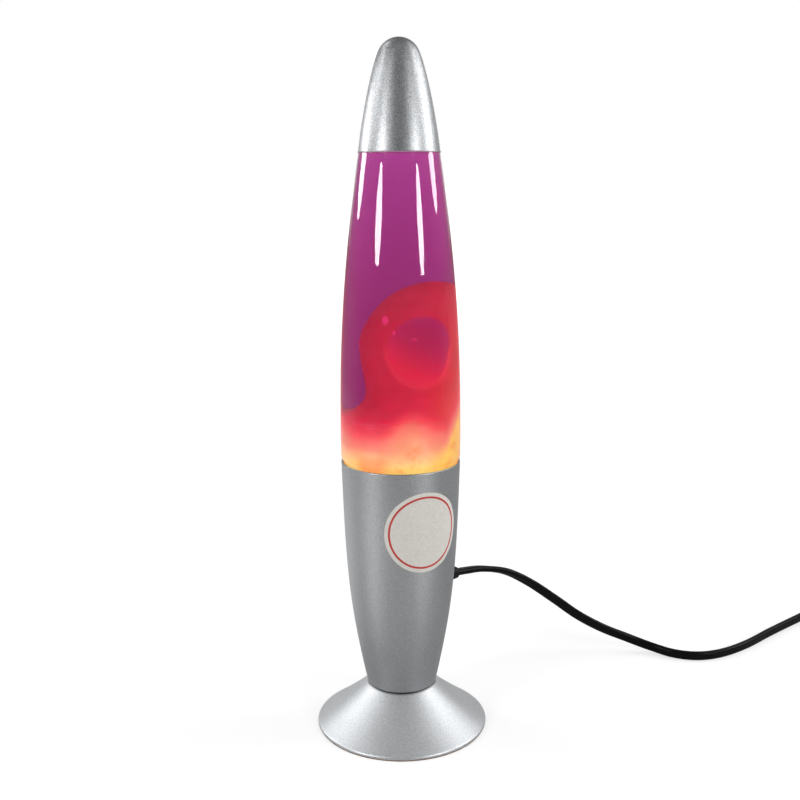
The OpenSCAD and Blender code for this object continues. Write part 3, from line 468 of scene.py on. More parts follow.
# Plain finishes by slot; patch and grain are the scales of their noise
METAL = dict(metal=1.0, rough_spread=0.03)
WIRE = dict(rough=0.45, spread=0.08, patch=80, grain=1800, depth=0.1)
PLAIN_LOOKS = {
    "plated_steel": dict(
        colour=srgb(200, 202, 204), rough=0.30, spread=0.06, patch=90, grain=1200, depth=0.05, **METAL),
    "contact_brass": dict(
        colour=srgb(222, 190, 112), rough=0.34, spread=0.06, patch=80, grain=900, depth=0.05, **METAL),
    "lamp_cap": dict(
        colour=srgb(205, 203, 196), rough=0.34, spread=0.06, patch=120, grain=1000, depth=0.08, **METAL),
    "socket_ceramic": dict(
        colour=srgb(238, 233, 222), rough=0.22, spread=0.03, patch=50, grain=300, depth=0.08),
    "lamp_insulator": dict(colour=srgb(28, 26, 28), rough=0.2, spread=0.2, patch=100, grain=500, depth=0.05),
    "liner": dict(colour=srgb(214, 213, 206), rough=0.6, spread=0.05, patch=70, grain=900, depth=0.15),
    "brown_wire": dict(colour=srgb(112, 70, 42), **WIRE),
    "blue_wire": dict(colour=srgb(48, 98, 170), **WIRE),
    "black_cord": dict(
        colour=srgb(11, 11, 11), rough=0.36, spread=0.18, patch=45, grain=2200, depth=0.1, specular=0.11),
    "black_rubber": dict(
        colour=srgb(16, 16, 17), rough=0.46, spread=0.15, patch=70, grain=1600, depth=0.2, specular=0.16),
    "black_plastic": dict(colour=srgb(27, 27, 29), rough=0.34, spread=0.12, patch=60, grain=1100, depth=0.22),
}

# The foot's colour is raised above the rest's and its paint is duller; painted shade darkens the joint above
# it, where the holder's edge shades the foot
FOOT_PALE, FOOT_DULL, JOINT_SHADE = 1.58, 0.05, 0.36


def silver_paint():
    """Sprayed metallic paint: pale flakes of well under a millimetre in grey, with a faint orange peel, and
    painted shade at the joint between holder and foot.
    """
    look = Look("silver_paint")
    z = look.axes()[2]
    flakes = look.noise(1700, 2, 0.65)

    def flecked(*greys):
        """The flakes in three cool greys, from dark to pale."""
        stops = zip((0.32, 0.5, 0.68), greys)
        return look.ramp(flakes, *((place, srgb(g, g + 2, g + 4)) for place, g in stops))

    on_cap = look.reach(z, CAP_Z - 7, CAP_Z - 2)
    # The foot's colour is raised by a factor; a narrow band at the joint gets painted shade, which ends above
    # the joint
    foot = look.reach(z, FOOT_H - 0.8, FOOT_H - 0.1, FOOT_PALE, JOINT_SHADE)
    shade_ends_above_joint = look.reach(z, FOOT_H + 0.5, FOOT_H + 1.1, 1.0, 1 / JOINT_SHADE)
    drift = look.span(look.noise(30), 0.3, 0.7, 0.97, 1.03)
    tone = look.new("ShaderNodeHueSaturation")
    look.put(tone.inputs["Color"], look.mix(on_cap, flecked(162, 175, 188), flecked(142, 174, 204)))
    look.put(tone.inputs["Value"], look.times(drift, look.times(foot, shade_ends_above_joint)))
    look.set(
        Base_Color=tone.outputs[0],
        Metallic=0.92,
        Roughness=look.plus(look.span(look.noise(1100, 2), 0.3, 0.7, 0.37, 0.45),
                            look.reach(z, FOOT_H - 0.6, FOOT_H, FOOT_DULL, 0.0)),
    )
    return look.bump((look.noise(220, 2), 0.04, 0.3), (flakes, 0.1, 0.25))


# The stretch of glass that carries the lamp's painted light
LIT_LOW_Z, LIT_TOP_Z = RIM + 6.2, CAP_Z + 3


def glass_look():
    """Glass with a painted warm tint from the lamp below, a painted glow along its outline and a painted pink
    glow in a thin line under the cap.
    """
    look = Look("bottle_glass")
    z = look.axes()[2]
    # Painted lamp light: a warm tint low down, fading to clear above
    tint = look.ramp(look.reach(z, LIT_LOW_Z, LIT_TOP_Z),
                     (0.0, (0.98, 0.90, 0.86, 1)), (0.45, (0.98, 0.92, 0.90, 1)), (1.0, (1, 1, 1, 1)))
    # Painted glow along the glass's outline, orange low down and dark red higher up
    outline = look.ramp(look.reach(z, LIT_LOW_Z, LIT_TOP_Z - 10),
                        (0.0, srgb(255, 120, 90)), (0.35, srgb(235, 60, 60)), (1.0, srgb(150, 45, 62)))
    edge_glow = look.times(look.span(look.edge_on(), 0.62, 0.95, 0.0, 0.30, smooth=True),
                         look.reach(z, LIT_TOP_Z - 30, LIT_TOP_Z, 1.0, 0.4))
    # Painted pink glow in a thin line just under the cap's hem
    below_cap = look.minus(MM * CAP_Z, z)
    cap_line_glow = look.times(look.reach(below_cap, 0.6, 1.3, 1.0, 0.0), look.reach(below_cap, 0.15, 0.35))
    look.set(
        Base_Color=tint,
        IOR=1.5,
        Transmission_Weight=1.0,
        Roughness=look.span(look.noise(70), 0.4, 0.7, 0.0, 0.02),
        Emission_Color=look.mix(cap_line_glow, outline, srgb(210, 120, 172)),
        Emission_Strength=look.math("MAXIMUM", edge_glow, look.times(cap_line_glow, 0.35)),
    )
    look.bump((look.noise(26, 2, 0.4, stretch=(1, 1, 0.35)), 0.05, 0.8))
    return look.absorb((0.423, 0.038, 0.06, 1), 130)


def liquid_look():
    """Clear purple water, whose surface adds no gloss of its own to the glass's."""
    look = Look("purple_liquid")
    look.set(
        Base_Color=(1, 1, 1, 1),
        IOR=1.33,
        Transmission_Weight=1.0,
        Specular_Tint=(0, 0, 0, 1),
        Roughness=look.span(look.noise(40, 2), 0.4, 0.7, 0.0, 0.01),
    )
    return look.absorb((0.773, 0.04, 0.709, 1), 86)


# The pocket in the wax's front and the beads before it, which the wax's shape and its look share
POCKET, POCKET_R, POCKET_TALL = (10.6, -29.2, RIM + 59.0), 21.2, 0.94
# The beads' share of pink is a painted glint
WAX_BEADS = (  # place, radii, share of pink
    ((-6.2, -13.0, RIM + 73.2), (1.3, 0.9, 2.2), 0.9),
    ((-2.5, -15.6, RIM + 67.4), (0.7, 0.6, 0.9), 0.8),
    ((5.8, -10.8, RIM + 63.5), (1.3, 0.6, 0.8), 0.4),
)
# The bands of painted glow in the wax rise over a hump right of the middle
HUMP_X, HUMP_W, HUMP_H = 5.0, 10.5, 10.5
# The pocket's painted shade changes along a slant, by so much height for each step to the right
POCKET_SLANT = 0.55


def wax_glow(look):
    """The wax's painted glow by height, in place of the lamp's light: yellow over the lamp, then coral and
    red, and that height from 0 to 1.
    """
    x, _, z = look.axes()

    def below(*shifts):
        height = z
        for shift in shifts:
            height = look.minus(height, shift)
        return height

    wander = look.times(look.minus(look.noise(70), 0.5), MM * 3)
    off_hump = look.math("DIVIDE", look.minus(x, MM * HUMP_X), MM * HUMP_W)
    hump = look.times(look.math("EXPONENT", look.times(look.math("POWER", off_hump, 2.0), -1.0)), MM * HUMP_H)
    left = look.reach(x, -28.5, -21.5, MM * 3, 0.0, smooth=True)
    side = look.reach(x, 9, 20, 0.0, MM * 2.5, smooth=True)
    low_right = look.reach(x, 12, 26, 0.0, MM * 3, smooth=True)
    right = look.reach(x, 20.5, 30, 0.0, MM * 17, smooth=True)

    level = look.reach(below(hump, right, left, side, wander), RIM - 20, RIM + 80)
    glow = look.ramp(
        level,
        (0.225, srgb(252, 184, 134)),
        (0.285, srgb(252, 160, 126)),
        (0.330, srgb(252, 130, 114)),
        (0.365, srgb(250, 80, 90)),
        (0.405, srgb(234, 36, 76)),
        (0.540, srgb(222, 16, 68)),
        (0.700, srgb(216, 14, 66)),
        (0.960, srgb(208, 14, 70)),
    )
    # Painted glow of the lamp on the wax pool, yellow and paler right over it
    lamp_near = below(right, low_right, wander)
    base = look.ramp(look.reach(lamp_near, RIM - 6, RIM + 18),
                     (0.0, srgb(255, 244, 168)), (0.32, srgb(255, 240, 124)), (0.5, srgb(255, 226, 144)))
    base = look.mix(look.reach(x, 10, 22, 0.0, 0.85, smooth=True), base, srgb(255, 224, 88))
    glow = look.mix(look.reach(lamp_near, RIM + 3, RIM + 12, 1.0, 0.0, smooth=True), glow, base)

    # Painted glow: orange swirls near the lamp, an amber patch low on the left and warmer light on the right
    swirl = look.times(look.span(look.noise(85), 0.50, 0.66, 0.0, 0.6, smooth=True),
                       look.span(level, 0.25, 0.34, 1.0, 0.0, smooth=True))
    glow = look.mix(swirl, glow, srgb(250, 150, 66))
    amber = look.times(look.reach(x, -23.5, -16.5, 0.0, 0.7, smooth=True),
                       look.reach(x, -11.5, -3, 1.0, 0.0, smooth=True))
    amber = look.times(amber, look.reach(look.plus(z, wander), RIM + 5, RIM + 10, 1.0, 0.0, smooth=True))
    glow = look.mix(amber, glow, srgb(250, 150, 80))
    warm = look.times(look.reach(x, 4, 26, 0.0, 0.6, smooth=True), look.span(level, 0.34, 0.46, smooth=True))
    warm = look.times(warm, look.span(level, 0.42, 0.9, 1.0, 0.25))
    return look.mix(warm, glow, srgb(244, 80, 52)), level


def wax_pocket(look, tone):
    """A tone with the round pocket in the wax's front: painted shade in magenta inside, a painted highlight
    on the lip round its lower half.
    """
    x, y, z = look.axes()
    away = look.distance(POCKET, (1.0, 1.0, POCKET_TALL))
    within = look.reach(away, POCKET_R + 0.2, POCKET_R + 1.4, 1.0, 0.0, smooth=True)
    # Painted shade deep in the pocket, in magenta, darker along the slant
    pocket_shade = look.times(within, look.reach(y, -21, -14.5, 0.2, 1.0, smooth=True))
    middle = POCKET[2] + POCKET_SLANT * POCKET[0]
    shade = look.ramp(
        look.reach(look.plus(z, look.times(x, POCKET_SLANT)), middle - 14, middle + 13),
        (0.0, srgb(246, 34, 78)),
        (0.28, srgb(226, 24, 86)),
        (0.55, srgb(202, 18, 94)),
        (1.0, srgb(184, 18, 100)),
    )
    # Painted highlight on the pocket's lower lip
    lip = look.times(look.reach(away, POCKET_R + 0.8, POCKET_R + 3.4, 1.0, 0.0, smooth=True),
                     look.minus(1.0, within))
    lip = look.times(lip, look.reach(z, POCKET[2] - 4, POCKET[2] + 6, 0.8, 0.0, smooth=True))
    return look.mix(lip, look.mix(pocket_shade, tone, shade), srgb(250, 66, 84))


def wax_look():
    """Molten wax with the lamp's light from below as a painted glow, painted shade where it turns away, and
    pink beads whose pink is a painted glint.
    """
    look = Look("red_wax")
    glow, level = wax_glow(look)
    mottle = look.ramp(look.noise(130, 4), (0.3, (0.90, 0.86, 0.84, 1)), (0.7, (1.06, 1.08, 1.08, 1)))
    tone = wax_pocket(look, look.mix(1.0, glow, mottle, blend="MULTIPLY"))
    # Painted shade where the wax turns away from the eye
    tone = look.mix(look.span(look.edge_on(), 0.66, 1.0, 0.0, 0.65, smooth=True), tone, srgb(150, 16, 84))
    # Painted pink glint on each bead
    for middle, radii, share in WAX_BEADS:
        bead = look.reach(look.distance(middle, radii), 1.05, 1.15, share, 0.0)
        tone = look.mix(bead, tone, srgb(246, 60, 128))
    look.set(
        Base_Color=look.ramp(level, (0.2, srgb(150, 70, 36)), (0.42, srgb(60, 6, 12))),
        Roughness=look.span(look.noise(200, 2), 0.3, 0.7, 0.28, 0.42),
        Specular_IOR_Level=0.1,
        Emission_Color=tone,
        Emission_Strength=1.25,
    )
    return look.bump((look.noise(45), 0.1, 2))


# The height at which the lamp's mirror ends
MIRROR_Z = 96.5


def lamp_glass_look():
    """Reflector lamp: mirrored inside up to its widest part, frosted and lit above it."""
    look = Look("lamp_glass")
    front = look.reach(look.axes()[2], MIRROR_Z - 1, MIRROR_Z + 1, smooth=True)
    look.set(
        Base_Color=look.mix(front, srgb(214, 215, 216), srgb(250, 244, 232)),
        Metallic=look.minus(1.0, front),
        Roughness=look.span(look.noise(500), 0.3, 0.7, 0.16, 0.34),
        Emission_Color=srgb(255, 222, 170),
        Emission_Strength=look.times(front, look.span(look.noise(90, 2), 0.3, 0.7, 0.85, 1.0)),
    )
    return look.bump((look.noise(900, 2), 0.08, 0.2))


def fibre_look():
    """Pressed brown fibre: strands along one way, with darker flecks."""
    look = Look("fibre_pad")
    strands = look.noise(900, 4, 0.6, stretch=(1, 0.35, 1))
    flecks = look.noise(260, 5)
    look.set(
        Base_Color=look.mix(
            look.span(flecks, 0.45, 0.65),
            look.ramp(strands, (0.3, srgb(126, 94, 70)), (0.7, srgb(168, 132, 102))),
            srgb(96, 70, 52),
        ),
        Roughness=look.span(strands, 0.3, 0.7, 0.8, 0.95),
    )
    return look.bump((strands, 0.4, 0.3))


# The sticker's border line, in shares of its radius
BORDER_IN, BORDER_OUT, BORDER_SOFT = 0.852, 0.912, 0.01


def paper_look():
    """Blank coated paper with one plain printed border line, drawn by its distance from the middle."""
    look = Look("sticker_paper")
    d = look.length(look.new("ShaderNodeUVMap").outputs[0])
    border = look.times(look.span(d, BORDER_IN, BORDER_IN + BORDER_SOFT),
                        look.span(d, BORDER_OUT - BORDER_SOFT, BORDER_OUT, 1.0, 0.0))
    paper = look.ramp(look.noise(700, 4), (0.3, srgb(213, 209, 202)), (0.7, srgb(226, 222, 216)))
    ink = look.ramp(look.noise(1400, 2), (0.35, srgb(184, 44, 36)), (0.65, srgb(200, 58, 48)))
    look.set(
        Base_Color=look.mix(border, paper, ink),
        Roughness=look.span(look.noise(500), 0.3, 0.7, 0.42, 0.55),
    )
    return look.bump((look.noise(900), 0.06, 0.2))


looks = [plain_look(name, **values) for name, values in PLAIN_LOOKS.items()]
looks += [silver_paint(), glass_look(), liquid_look(), wax_look()]
looks += [lamp_glass_look(), fibre_look(), paper_look()]
materials = {look.name: look.material for look in looks}
for node, slot in slots.items():
    nodes[node].data.materials.clear()
    nodes[node].data.materials.append(materials[slot])


# Holder: its wall, and the bushing where the cord leaves it
HOLDER_BOTTOM_R, HOLDER_MOUTH_R, HOLDER_WALL = 18, 30.3, 1.0
HOLDER_CORNER, HOLDER_LOW_LEAN, HOLDER_TOP_LEAN = 1.5, 12, 1.6
LOW_REACH, TOP_REACH = 0.366, 0.5
SOURCE_STEPS, FINE_STEPS = 22, 88
CORD_EXIT_H, CORD_EXIT_TURN, LEAN_SPAN = 50, math.radians(45), 10
BUSHING_OUT, BUSHING_COLLAR_R, BUSHING_COLLAR_T = 15.5, 5.6, 3


def wall_line(steps):
    """The holder's outer wall, from the corner at its floor up to its rim."""
    lean = math.radians(HOLDER_LOW_LEAN)
    corner = np.array([
        HOLDER_BOTTOM_R + HOLDER_CORNER * ((1 - math.sin(lean)) * math.tan(lean) - math.cos(lean)),
        FOOT_H + HOLDER_CORNER,
    ])
    start = corner + HOLDER_CORNER * np.array([math.cos(lean), -math.sin(lean)])
    end = np.array([HOLDER_MOUTH_R, RIM - HOLDER_WALL / 2])
    rise = end[1] - start[1]
    return bezier(start, leaning(start, HOLDER_LOW_LEAN, LOW_REACH * rise),
                  leaning(end, HOLDER_TOP_LEAN, -TOP_REACH * rise), end, steps)


def wall_exit():
    """Where the cord's hole goes through the wall, and the direction outwards, square to the wall."""
    line, z = wall_line(SOURCE_STEPS), FOOT_H + CORD_EXIT_H
    r = radius_at(line, z)
    low_r, high_r = radius_at(line, [z - LEAN_SPAN / 2, z + LEAN_SPAN / 2])
    lean = math.atan((high_r - low_r) / LEAN_SPAN)
    out = np.array([math.cos(CORD_EXIT_TURN), math.sin(CORD_EXIT_TURN)])
    return np.array([*(r * out), z]), np.array([*(math.cos(lean) * out), -math.sin(lean)])


holder_line = wall_line(FINE_STEPS)
EXIT_P, EXIT_DIR = wall_exit()
BUSHING_TIP = np.round(EXIT_P + BUSHING_OUT * EXIT_DIR, 4)
COLLAR_END = HOLDER_WALL + BUSHING_COLLAR_R**2 / (2 * math.hypot(*EXIT_P[:2])) + 2 * THREAD_GAP
BUSHING_IN = COLLAR_END + BUSHING_COLLAR_T


# Cords
CORD_W, CORD_T = 5.4, 3.4
WAIST_W, WAIST_EDGE, WAIST_DEPTH = 0.7, 0.05, 0.12
TIE_T, TIE_W, TIE_ROUND, TIE_SLACK = 1.0, 6.0, 1.5, 0.8
COIL_GAP, COIL_MID_R, COIL_Y = 0.6, 28.5, -14.0
COIL_TURNS, RINGS_A_TURN, FINE_RINGS = 7 + 8 / 360, 24, 420
COIL_PITCH, COIL_STEP = CORD_T + COIL_GAP, CORD_W + COIL_GAP
COIL_LOW_Z = TIE_T + SEAT_GAP + CORD_W / 2
COIL_OUTER = COIL_MID_R + COIL_PITCH * COIL_TURNS / 4
SLOT_DEPTH, SWITCH_RUN = 3, 9
PLUG_REACH = 36
switch_low, switch_high = extent("switch_base")
SWITCH_X, CORD_Z = (switch_low[0] + switch_high[0]) / 2, switch_high[2]
SWITCH_IN = np.array([SWITCH_X, switch_high[1] - SLOT_DEPTH, CORD_Z])
SWITCH_OUT = np.array([SWITCH_X, switch_low[1] + SLOT_DEPTH, CORD_Z])
COIL_C = np.array([SWITCH_X - COIL_OUTER, COIL_Y])
PLUG_TOP = extent("plug_body")[1][2]
FORWARD = [0, -1, 0]


def flat_section(w, t, count):
    """Two half-round edges and the faint waist between the two cores."""
    a = np.radians(np.linspace(-90, 90, count))
    right = np.stack([(w - t) / 2 + t / 2 * np.cos(a), t / 2 * np.sin(a)], 1)
    edge = t / 2 - WAIST_EDGE
    waist = np.array([[WAIST_W / 2, edge], [0, t / 2 - WAIST_DEPTH], [-WAIST_W / 2, edge]])
    return np.concatenate([right, waist, -right, -waist])


def cord_mesh(path, rolls, first, last):
    return tube_mesh(flat_rings(path, rolls, flat_section(CORD_W, CORD_T, 9), first, last))


# The lead's route: x, y, z and the roll of the wide side from level
lead_points = catmull([
    [*BUSHING_TIP, 0],
    [36, 35.6, 70.2, 0], [46, 43, 68.4, 10], [60, 50, 64, 30], [74.5, 57, 54.5, 55], [90, 64.5, 41.5, 75],
    [105.5, 72, 28, 90], [121.5, 78.5, 17, 90], [137, 82, 9.3, 90], [151, 80, 4.4, 90], [164, 72.5, 2.9, 90],
    [178, 69, 2.8, 90], [193.5, 73, 2.8, 90], [212, 85, 2.8, 90], [232.5, 103, 2.8, 90], [254, 121, 2.8, 90],
    [268, 132, 2.8, 90], [285, 140, 2.8, 90], [305, 138.5, 3.2, 90], [321.5, 127, 4.4, 90],
    [330, 110, 6.4, 90], [SWITCH_X, SWITCH_IN[1] + SWITCH_RUN, CORD_Z, 90], [*SWITCH_IN, 90],
], 8)
lead_path = lead_points[:, :3]
lead = add_mesh("lead", cord_mesh(lead_path, lead_points[:, 3], EXIT_DIR, FORWARD), "base", "black_cord", 60)
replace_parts(lead, "cord_lead")


def coil_point(t):
    """The coil's middle line after t turns: inwards in the lower layer, outwards in the upper one."""
    r = COIL_OUTER - COIL_PITCH * min(t, COIL_TURNS - t)
    a = 2 * math.pi * t
    z = COIL_LOW_Z + COIL_STEP * ease((t - COIL_TURNS / 2) * 2 + 0.5)
    return np.array([COIL_C[0] + r * math.cos(a), COIL_C[1] - r * math.sin(a), z])


def plug_place():
    """The tip of the plug's guard and the plug's direction, which carries on from the source's coil."""
    end = coil_point(COIL_TURNS)
    last = unit(end - coil_point(COIL_TURNS * (1 - 1 / round(COIL_TURNS * RINGS_A_TURN))))
    direction = unit([last[0], last[1], 0])
    tip = end + CORD_W * last + PLUG_REACH * direction
    return np.array([tip[0], tip[1], PLUG_TOP / 2]), direction


def eased(p, q, count):
    """A straight stretch whose height changes smoothly."""
    t = np.linspace(0, 1, count)[:, None]
    out = p + t * (q - p)
    out[:, 2] = p[2] + ease(t[:, 0]) * (q[2] - p[2])
    return out


PLUG_TIP, PLUG_DIR = plug_place()
coil = np.array([coil_point(t) for t in np.linspace(0, COIL_TURNS, FINE_RINGS)])
coil_in = coil[0] - CORD_W * unit(coil[1] - coil[0])
coil_out = coil[-1] + CORD_W * unit(coil[-1] - coil[-2])
rest_path = np.concatenate([eased(SWITCH_OUT, coil_in, 16), coil, eased(coil_out, PLUG_TIP, 18)])
rest_cord = add_mesh(
    "stored_cord", cord_mesh(rest_path, [90] * len(rest_path), FORWARD, PLUG_DIR), "base", "black_cord", 60)
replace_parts(rest_cord, "cord_link", "cord_coil", "cord_tail")


# Tie: a closed band with rounded edges round the coil's turns
TIE_IN_W = COIL_PITCH * COIL_TURNS / 2 + CORD_T + TIE_SLACK
TIE_IN_H = 2 * CORD_W + COIL_GAP + 2 * SEAT_GAP
TIE_FLAT, TIE_EDGE = TIE_W / 2 - 0.4, TIE_W / 2 - 0.05
TIE_SECTION = (  # place along the cord, height in shares of the thickness
    (-TIE_FLAT, 0.5), (-TIE_FLAT / 2, 0.44), (0, 0.5), (TIE_FLAT / 2, 0.44), (TIE_FLAT, 0.5),
    (TIE_EDGE, 0.2), (TIE_EDGE, -0.2), (TIE_FLAT, -0.48), (0, -0.48), (-TIE_FLAT, -0.48),
    (-TIE_EDGE, -0.2), (-TIE_EDGE, 0.2),
)


def tie_band():
    mid_r = TIE_ROUND + TIE_T / 2
    wide, tall = (TIE_IN_W + TIE_T) / 2 - mid_r, (TIE_IN_H + TIE_T) / 2 - mid_r
    loop = np.array([
        (side * wide + mid_r * math.cos(a), up * tall + mid_r * math.sin(a))
        for start, side, up in ((0, 1, 1), (90, -1, 1), (180, -1, -1), (270, 1, -1))
        for a in np.radians(np.linspace(start, start + 90, 8))
    ])
    rows = []
    for i, p in enumerate(loop):
        along = unit(loop[(i + 1) % len(loop)] - loop[i - 1])
        out = np.array([along[1], -along[0]])
        ring = []
        for place, height in TIE_SECTION:
            q = p + height * TIE_T * out
            ring.append([COIL_C[0] + place, COIL_C[1] - COIL_MID_R - q[0], TIE_T + TIE_IN_H / 2 + q[1]])
        rows.append(ring)
    return np.reshape(rows, (-1, 3)), ring_faces(len(rows), len(TIE_SECTION), closed_rows=True)


tie = add_mesh("cord_band", tie_band(), "base", "black_rubber", 50)
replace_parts(tie, "cord_tie")


# Plug: four low ribs across its upper face for the grip
GRIP_MID, RIB_COUNT, RIB_PITCH, RIB_HALF = (332.4, -103.0), 4, 3.0, 8.5
RIB_R, RIB_SUNK, RIB_STEPS, RIB_SIDES = 0.8, 0.35, 25, 16


def plug_rib(y):
    """A round rib with blunt ends, sunk into the plug's face."""
    t = np.sin(np.linspace(-1, 1, RIB_STEPS) * math.pi / 2)
    path = np.array([(GRIP_MID[0] + RIB_HALF * share, y, PLUG_TOP - RIB_SUNK) for share in t])
    return tube_mesh(round_rings(path, RIB_R * np.clip(1 - t**8, 0.05, 1)**0.5, RIB_SIDES))


rib_places = [GRIP_MID[1] + RIB_PITCH * (i - (RIB_COUNT - 1) / 2) for i in range(RIB_COUNT)]
grip = add_mesh("plug_grip", joined(plug_rib(y) for y in rib_places), "base", "black_plastic", 60)


# Bottle: the line of its hollow, which liquid and wax fill
GLASS_R, GLASS_TOP_R, GLASS_WALL, GLASS_BASE, BASE_ROUND = 30.4, 19.9, 2.2, 4.5, 7
SHOULDER_RISE, LEDGE_ROUND = 3.2, 0.5
BELLY_LOW_LEAN, BELLY_TOP_LEAN, BELLY_LOW_REACH, BELLY_TOP_REACH = 0.5, -8.3, 0.433, 0.306
HOLLOW_Z, HOLLOW_ROUND = BOTTLE_Z + GLASS_BASE, 5
NECK_BORE, NECK_FOOT_Z, NECK_LOW_PULL, NECK_TOP_PULL = 9, LIP_Z - 6.5, 5, 4


def bottle_side():
    """The glass's outside: a taper inside the holder, a shoulder on its rim and the belly up to the cap."""
    taper_z = np.linspace(BOTTLE_Z + BASE_ROUND, RIM - HOLDER_WALL, 5)
    taper = np.stack([radius_at(inset(holder_line, HOLDER_WALL), taper_z) - SEAT_GAP, taper_z], 1)
    start = np.array([GLASS_R - 0.05, RIM + SHOULDER_RISE])
    end = np.array([GLASS_TOP_R, CAP_Z - SEAT_GAP - LEDGE_ROUND])
    pull, rise = np.array([0, SHOULDER_RISE / 2]), end[1] - start[1]
    shoulder = bezier(taper[-1], taper[-1] + pull, start - pull, start, 8)
    belly = bezier(start, leaning(start, BELLY_LOW_LEAN, BELLY_LOW_REACH * rise),
                   leaning(end, BELLY_TOP_LEAN, -BELLY_TOP_REACH * rise), end, 64)
    return np.concatenate([taper, shoulder[1:], belly[1:]])


def bottle_hollow():
    """The glass's inside, from the middle of its floor up to the neck's bore."""
    side = inset(bottle_side(), GLASS_WALL)
    a = np.radians(np.linspace(-90, 0, 9))
    middle = np.array([side[1][0] - HOLLOW_ROUND, HOLLOW_Z + HOLLOW_ROUND])
    neck = bezier(side[-1], leaning(side[-1], BELLY_TOP_LEAN, NECK_LOW_PULL),
                  (NECK_BORE, NECK_FOOT_Z - NECK_TOP_PULL), (NECK_BORE, NECK_FOOT_Z), 12)
    return np.concatenate([
        [[0, HOLLOW_Z]], middle + HOLLOW_ROUND * np.stack([np.cos(a), np.sin(a)], 1), side[2:], neck[1:],
    ])


hollow_line = bottle_hollow()


# Liquid: it reaches a little into the glass, so that no air shows between them, and climbs at its edge
SOAK, CLIMB, CLIMB_W, CLIMB_ROOM = 0.6, 0.25, 0.8, 0.2
FILL_Z = extent("liquid")[1][2]


def liquid_mesh():
    line = inset(hollow_line, -SOAK)
    edge_r = radius_at(line[1:], FILL_Z)
    side = [tuple(p) for p in line[1:] if p[1] < FILL_Z - CLIMB_ROOM]
    top = [(edge_r, FILL_Z + CLIMB), (edge_r - CLIMB_W, FILL_Z), (0, FILL_Z)]
    return lathe_mesh([(0, line[0][1])] + side + top, 160)


liquid = add_mesh("liquid_fill", liquid_mesh(), "bottle_body", "purple_liquid", 60)
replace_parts(liquid, "liquid")


# Wax: a pool that fills the bottle's foot, a column, and a lump with a crest and the pocket in its front
LUMP, LUMP_R, LUMP_TALL = (5.4, 2.5, RIM + 59), 20.4, 1.02
CREST, CREST_R = (9.0, 1.6, RIM + 72.5), 16.5
SHOULDER, SHOULDER_R = (14.5, 1.0, RIM + 74.6), 15.2
COLUMN_H, COLUMN_DRIFT, COLUMN_LESS = 30, 2.4, 0.5
POOL_H, POOL_EASE = 24.2, 0.97
WAVE_X_H, WAVE_X_RATE, WAVE_X_START, WAVE_Y_H, WAVE_Y_RATE = 0.9, 0.13, 0.8, 0.7, 0.17
CREST_BLEND, LUMP_BLEND, POOL_BLEND, POCKET_BLEND = 5, 9, 15, 3
POOL_FILM, LUMP_FILM, FILM_RISE = 0.3, 0.9, 8
GRID_STEP, GRID_HALF, GRID_LOW_Z, GRID_TOP_Z = 0.8, 29.6, HOLLOW_Z - 1.4, RIM + 98


def smooth_min(a, b, k):
    h = np.clip(0.5 + 0.5 * (b - a) / k, 0, 1)
    return b + h * (a - b) - k * h * (1 - h)


def wax_field(x, y, z):
    """Below zero inside the wax, and about the distance to its surface elsewhere."""
    def ball(middle, r, tall=1.0):
        return np.sqrt((x - middle[0])**2 + (y - middle[1])**2 + ((z - middle[2]) / tall)**2) - r

    waves = WAVE_X_H * np.sin(WAVE_X_RATE * x + WAVE_X_START) + WAVE_Y_H * np.cos(WAVE_Y_RATE * y)
    pool_top = RIM + POOL_H + waves
    crest = smooth_min(ball(CREST, CREST_R), ball(SHOULDER, SHOULDER_R), CREST_BLEND)
    down = ease((LUMP[2] - z) / COLUMN_H)
    off_column = np.sqrt((x - LUMP[0] - COLUMN_DRIFT * down)**2 + (y - LUMP[1])**2)
    column = np.maximum(off_column - LUMP_R + COLUMN_LESS * down, z - LUMP[2])
    mass = np.minimum(smooth_min(ball(LUMP, LUMP_R, LUMP_TALL), crest, LUMP_BLEND), column)
    mass = smooth_min(mass, (z - pool_top) * POOL_EASE, POOL_BLEND)
    mass = -smooth_min(-mass, ball(POCKET, POCKET_R, POCKET_TALL), POCKET_BLEND)
    film = np.where(z > pool_top + FILM_RISE, LUMP_FILM, POOL_FILM)
    past_glass = np.sqrt(x * x + y * y) - radius_at(hollow_line[1:], z) + film
    return np.maximum(np.maximum(mass, past_glass), HOLLOW_Z + POOL_FILM - z)


def wax_mesh():
    across = np.arange(-GRID_HALF, GRID_HALF + GRID_STEP / 2, GRID_STEP)
    up = np.arange(GRID_LOW_Z, GRID_TOP_Z, GRID_STEP)
    field = wax_field(*np.meshgrid(across, across, up, indexing="ij"))
    return surface_nets(field, (across[0], across[0], up[0]), GRID_STEP)


def bead_mesh(middle, radii, count=16):
    """A small ball of wax, stretched along the axes."""
    heights = np.linspace(-math.pi / 2, math.pi / 2, count // 2 + 1)[1:-1]
    verts, faces = lathe_mesh([(0, -1)] + [(math.cos(a), math.sin(a)) for a in heights] + [(0, 1)], count)
    return [tuple(m + r * c for m, r, c in zip(middle, radii, v)) for v in verts], faces


beads = [bead_mesh(middle, radii) for middle, radii, _ in WAX_BEADS]
wax = add_mesh("wax_flow", joined([wax_mesh()] + beads), "bottle_body", "red_wax", 180)
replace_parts(wax, "wax")


# Cap: its lower edge is rolled into a fine hem
HEM_R, HEM_C, HEM_SIDES, HEM_STEPS = 0.30, (19.93, CAP_Z - 0.14), 14, 192


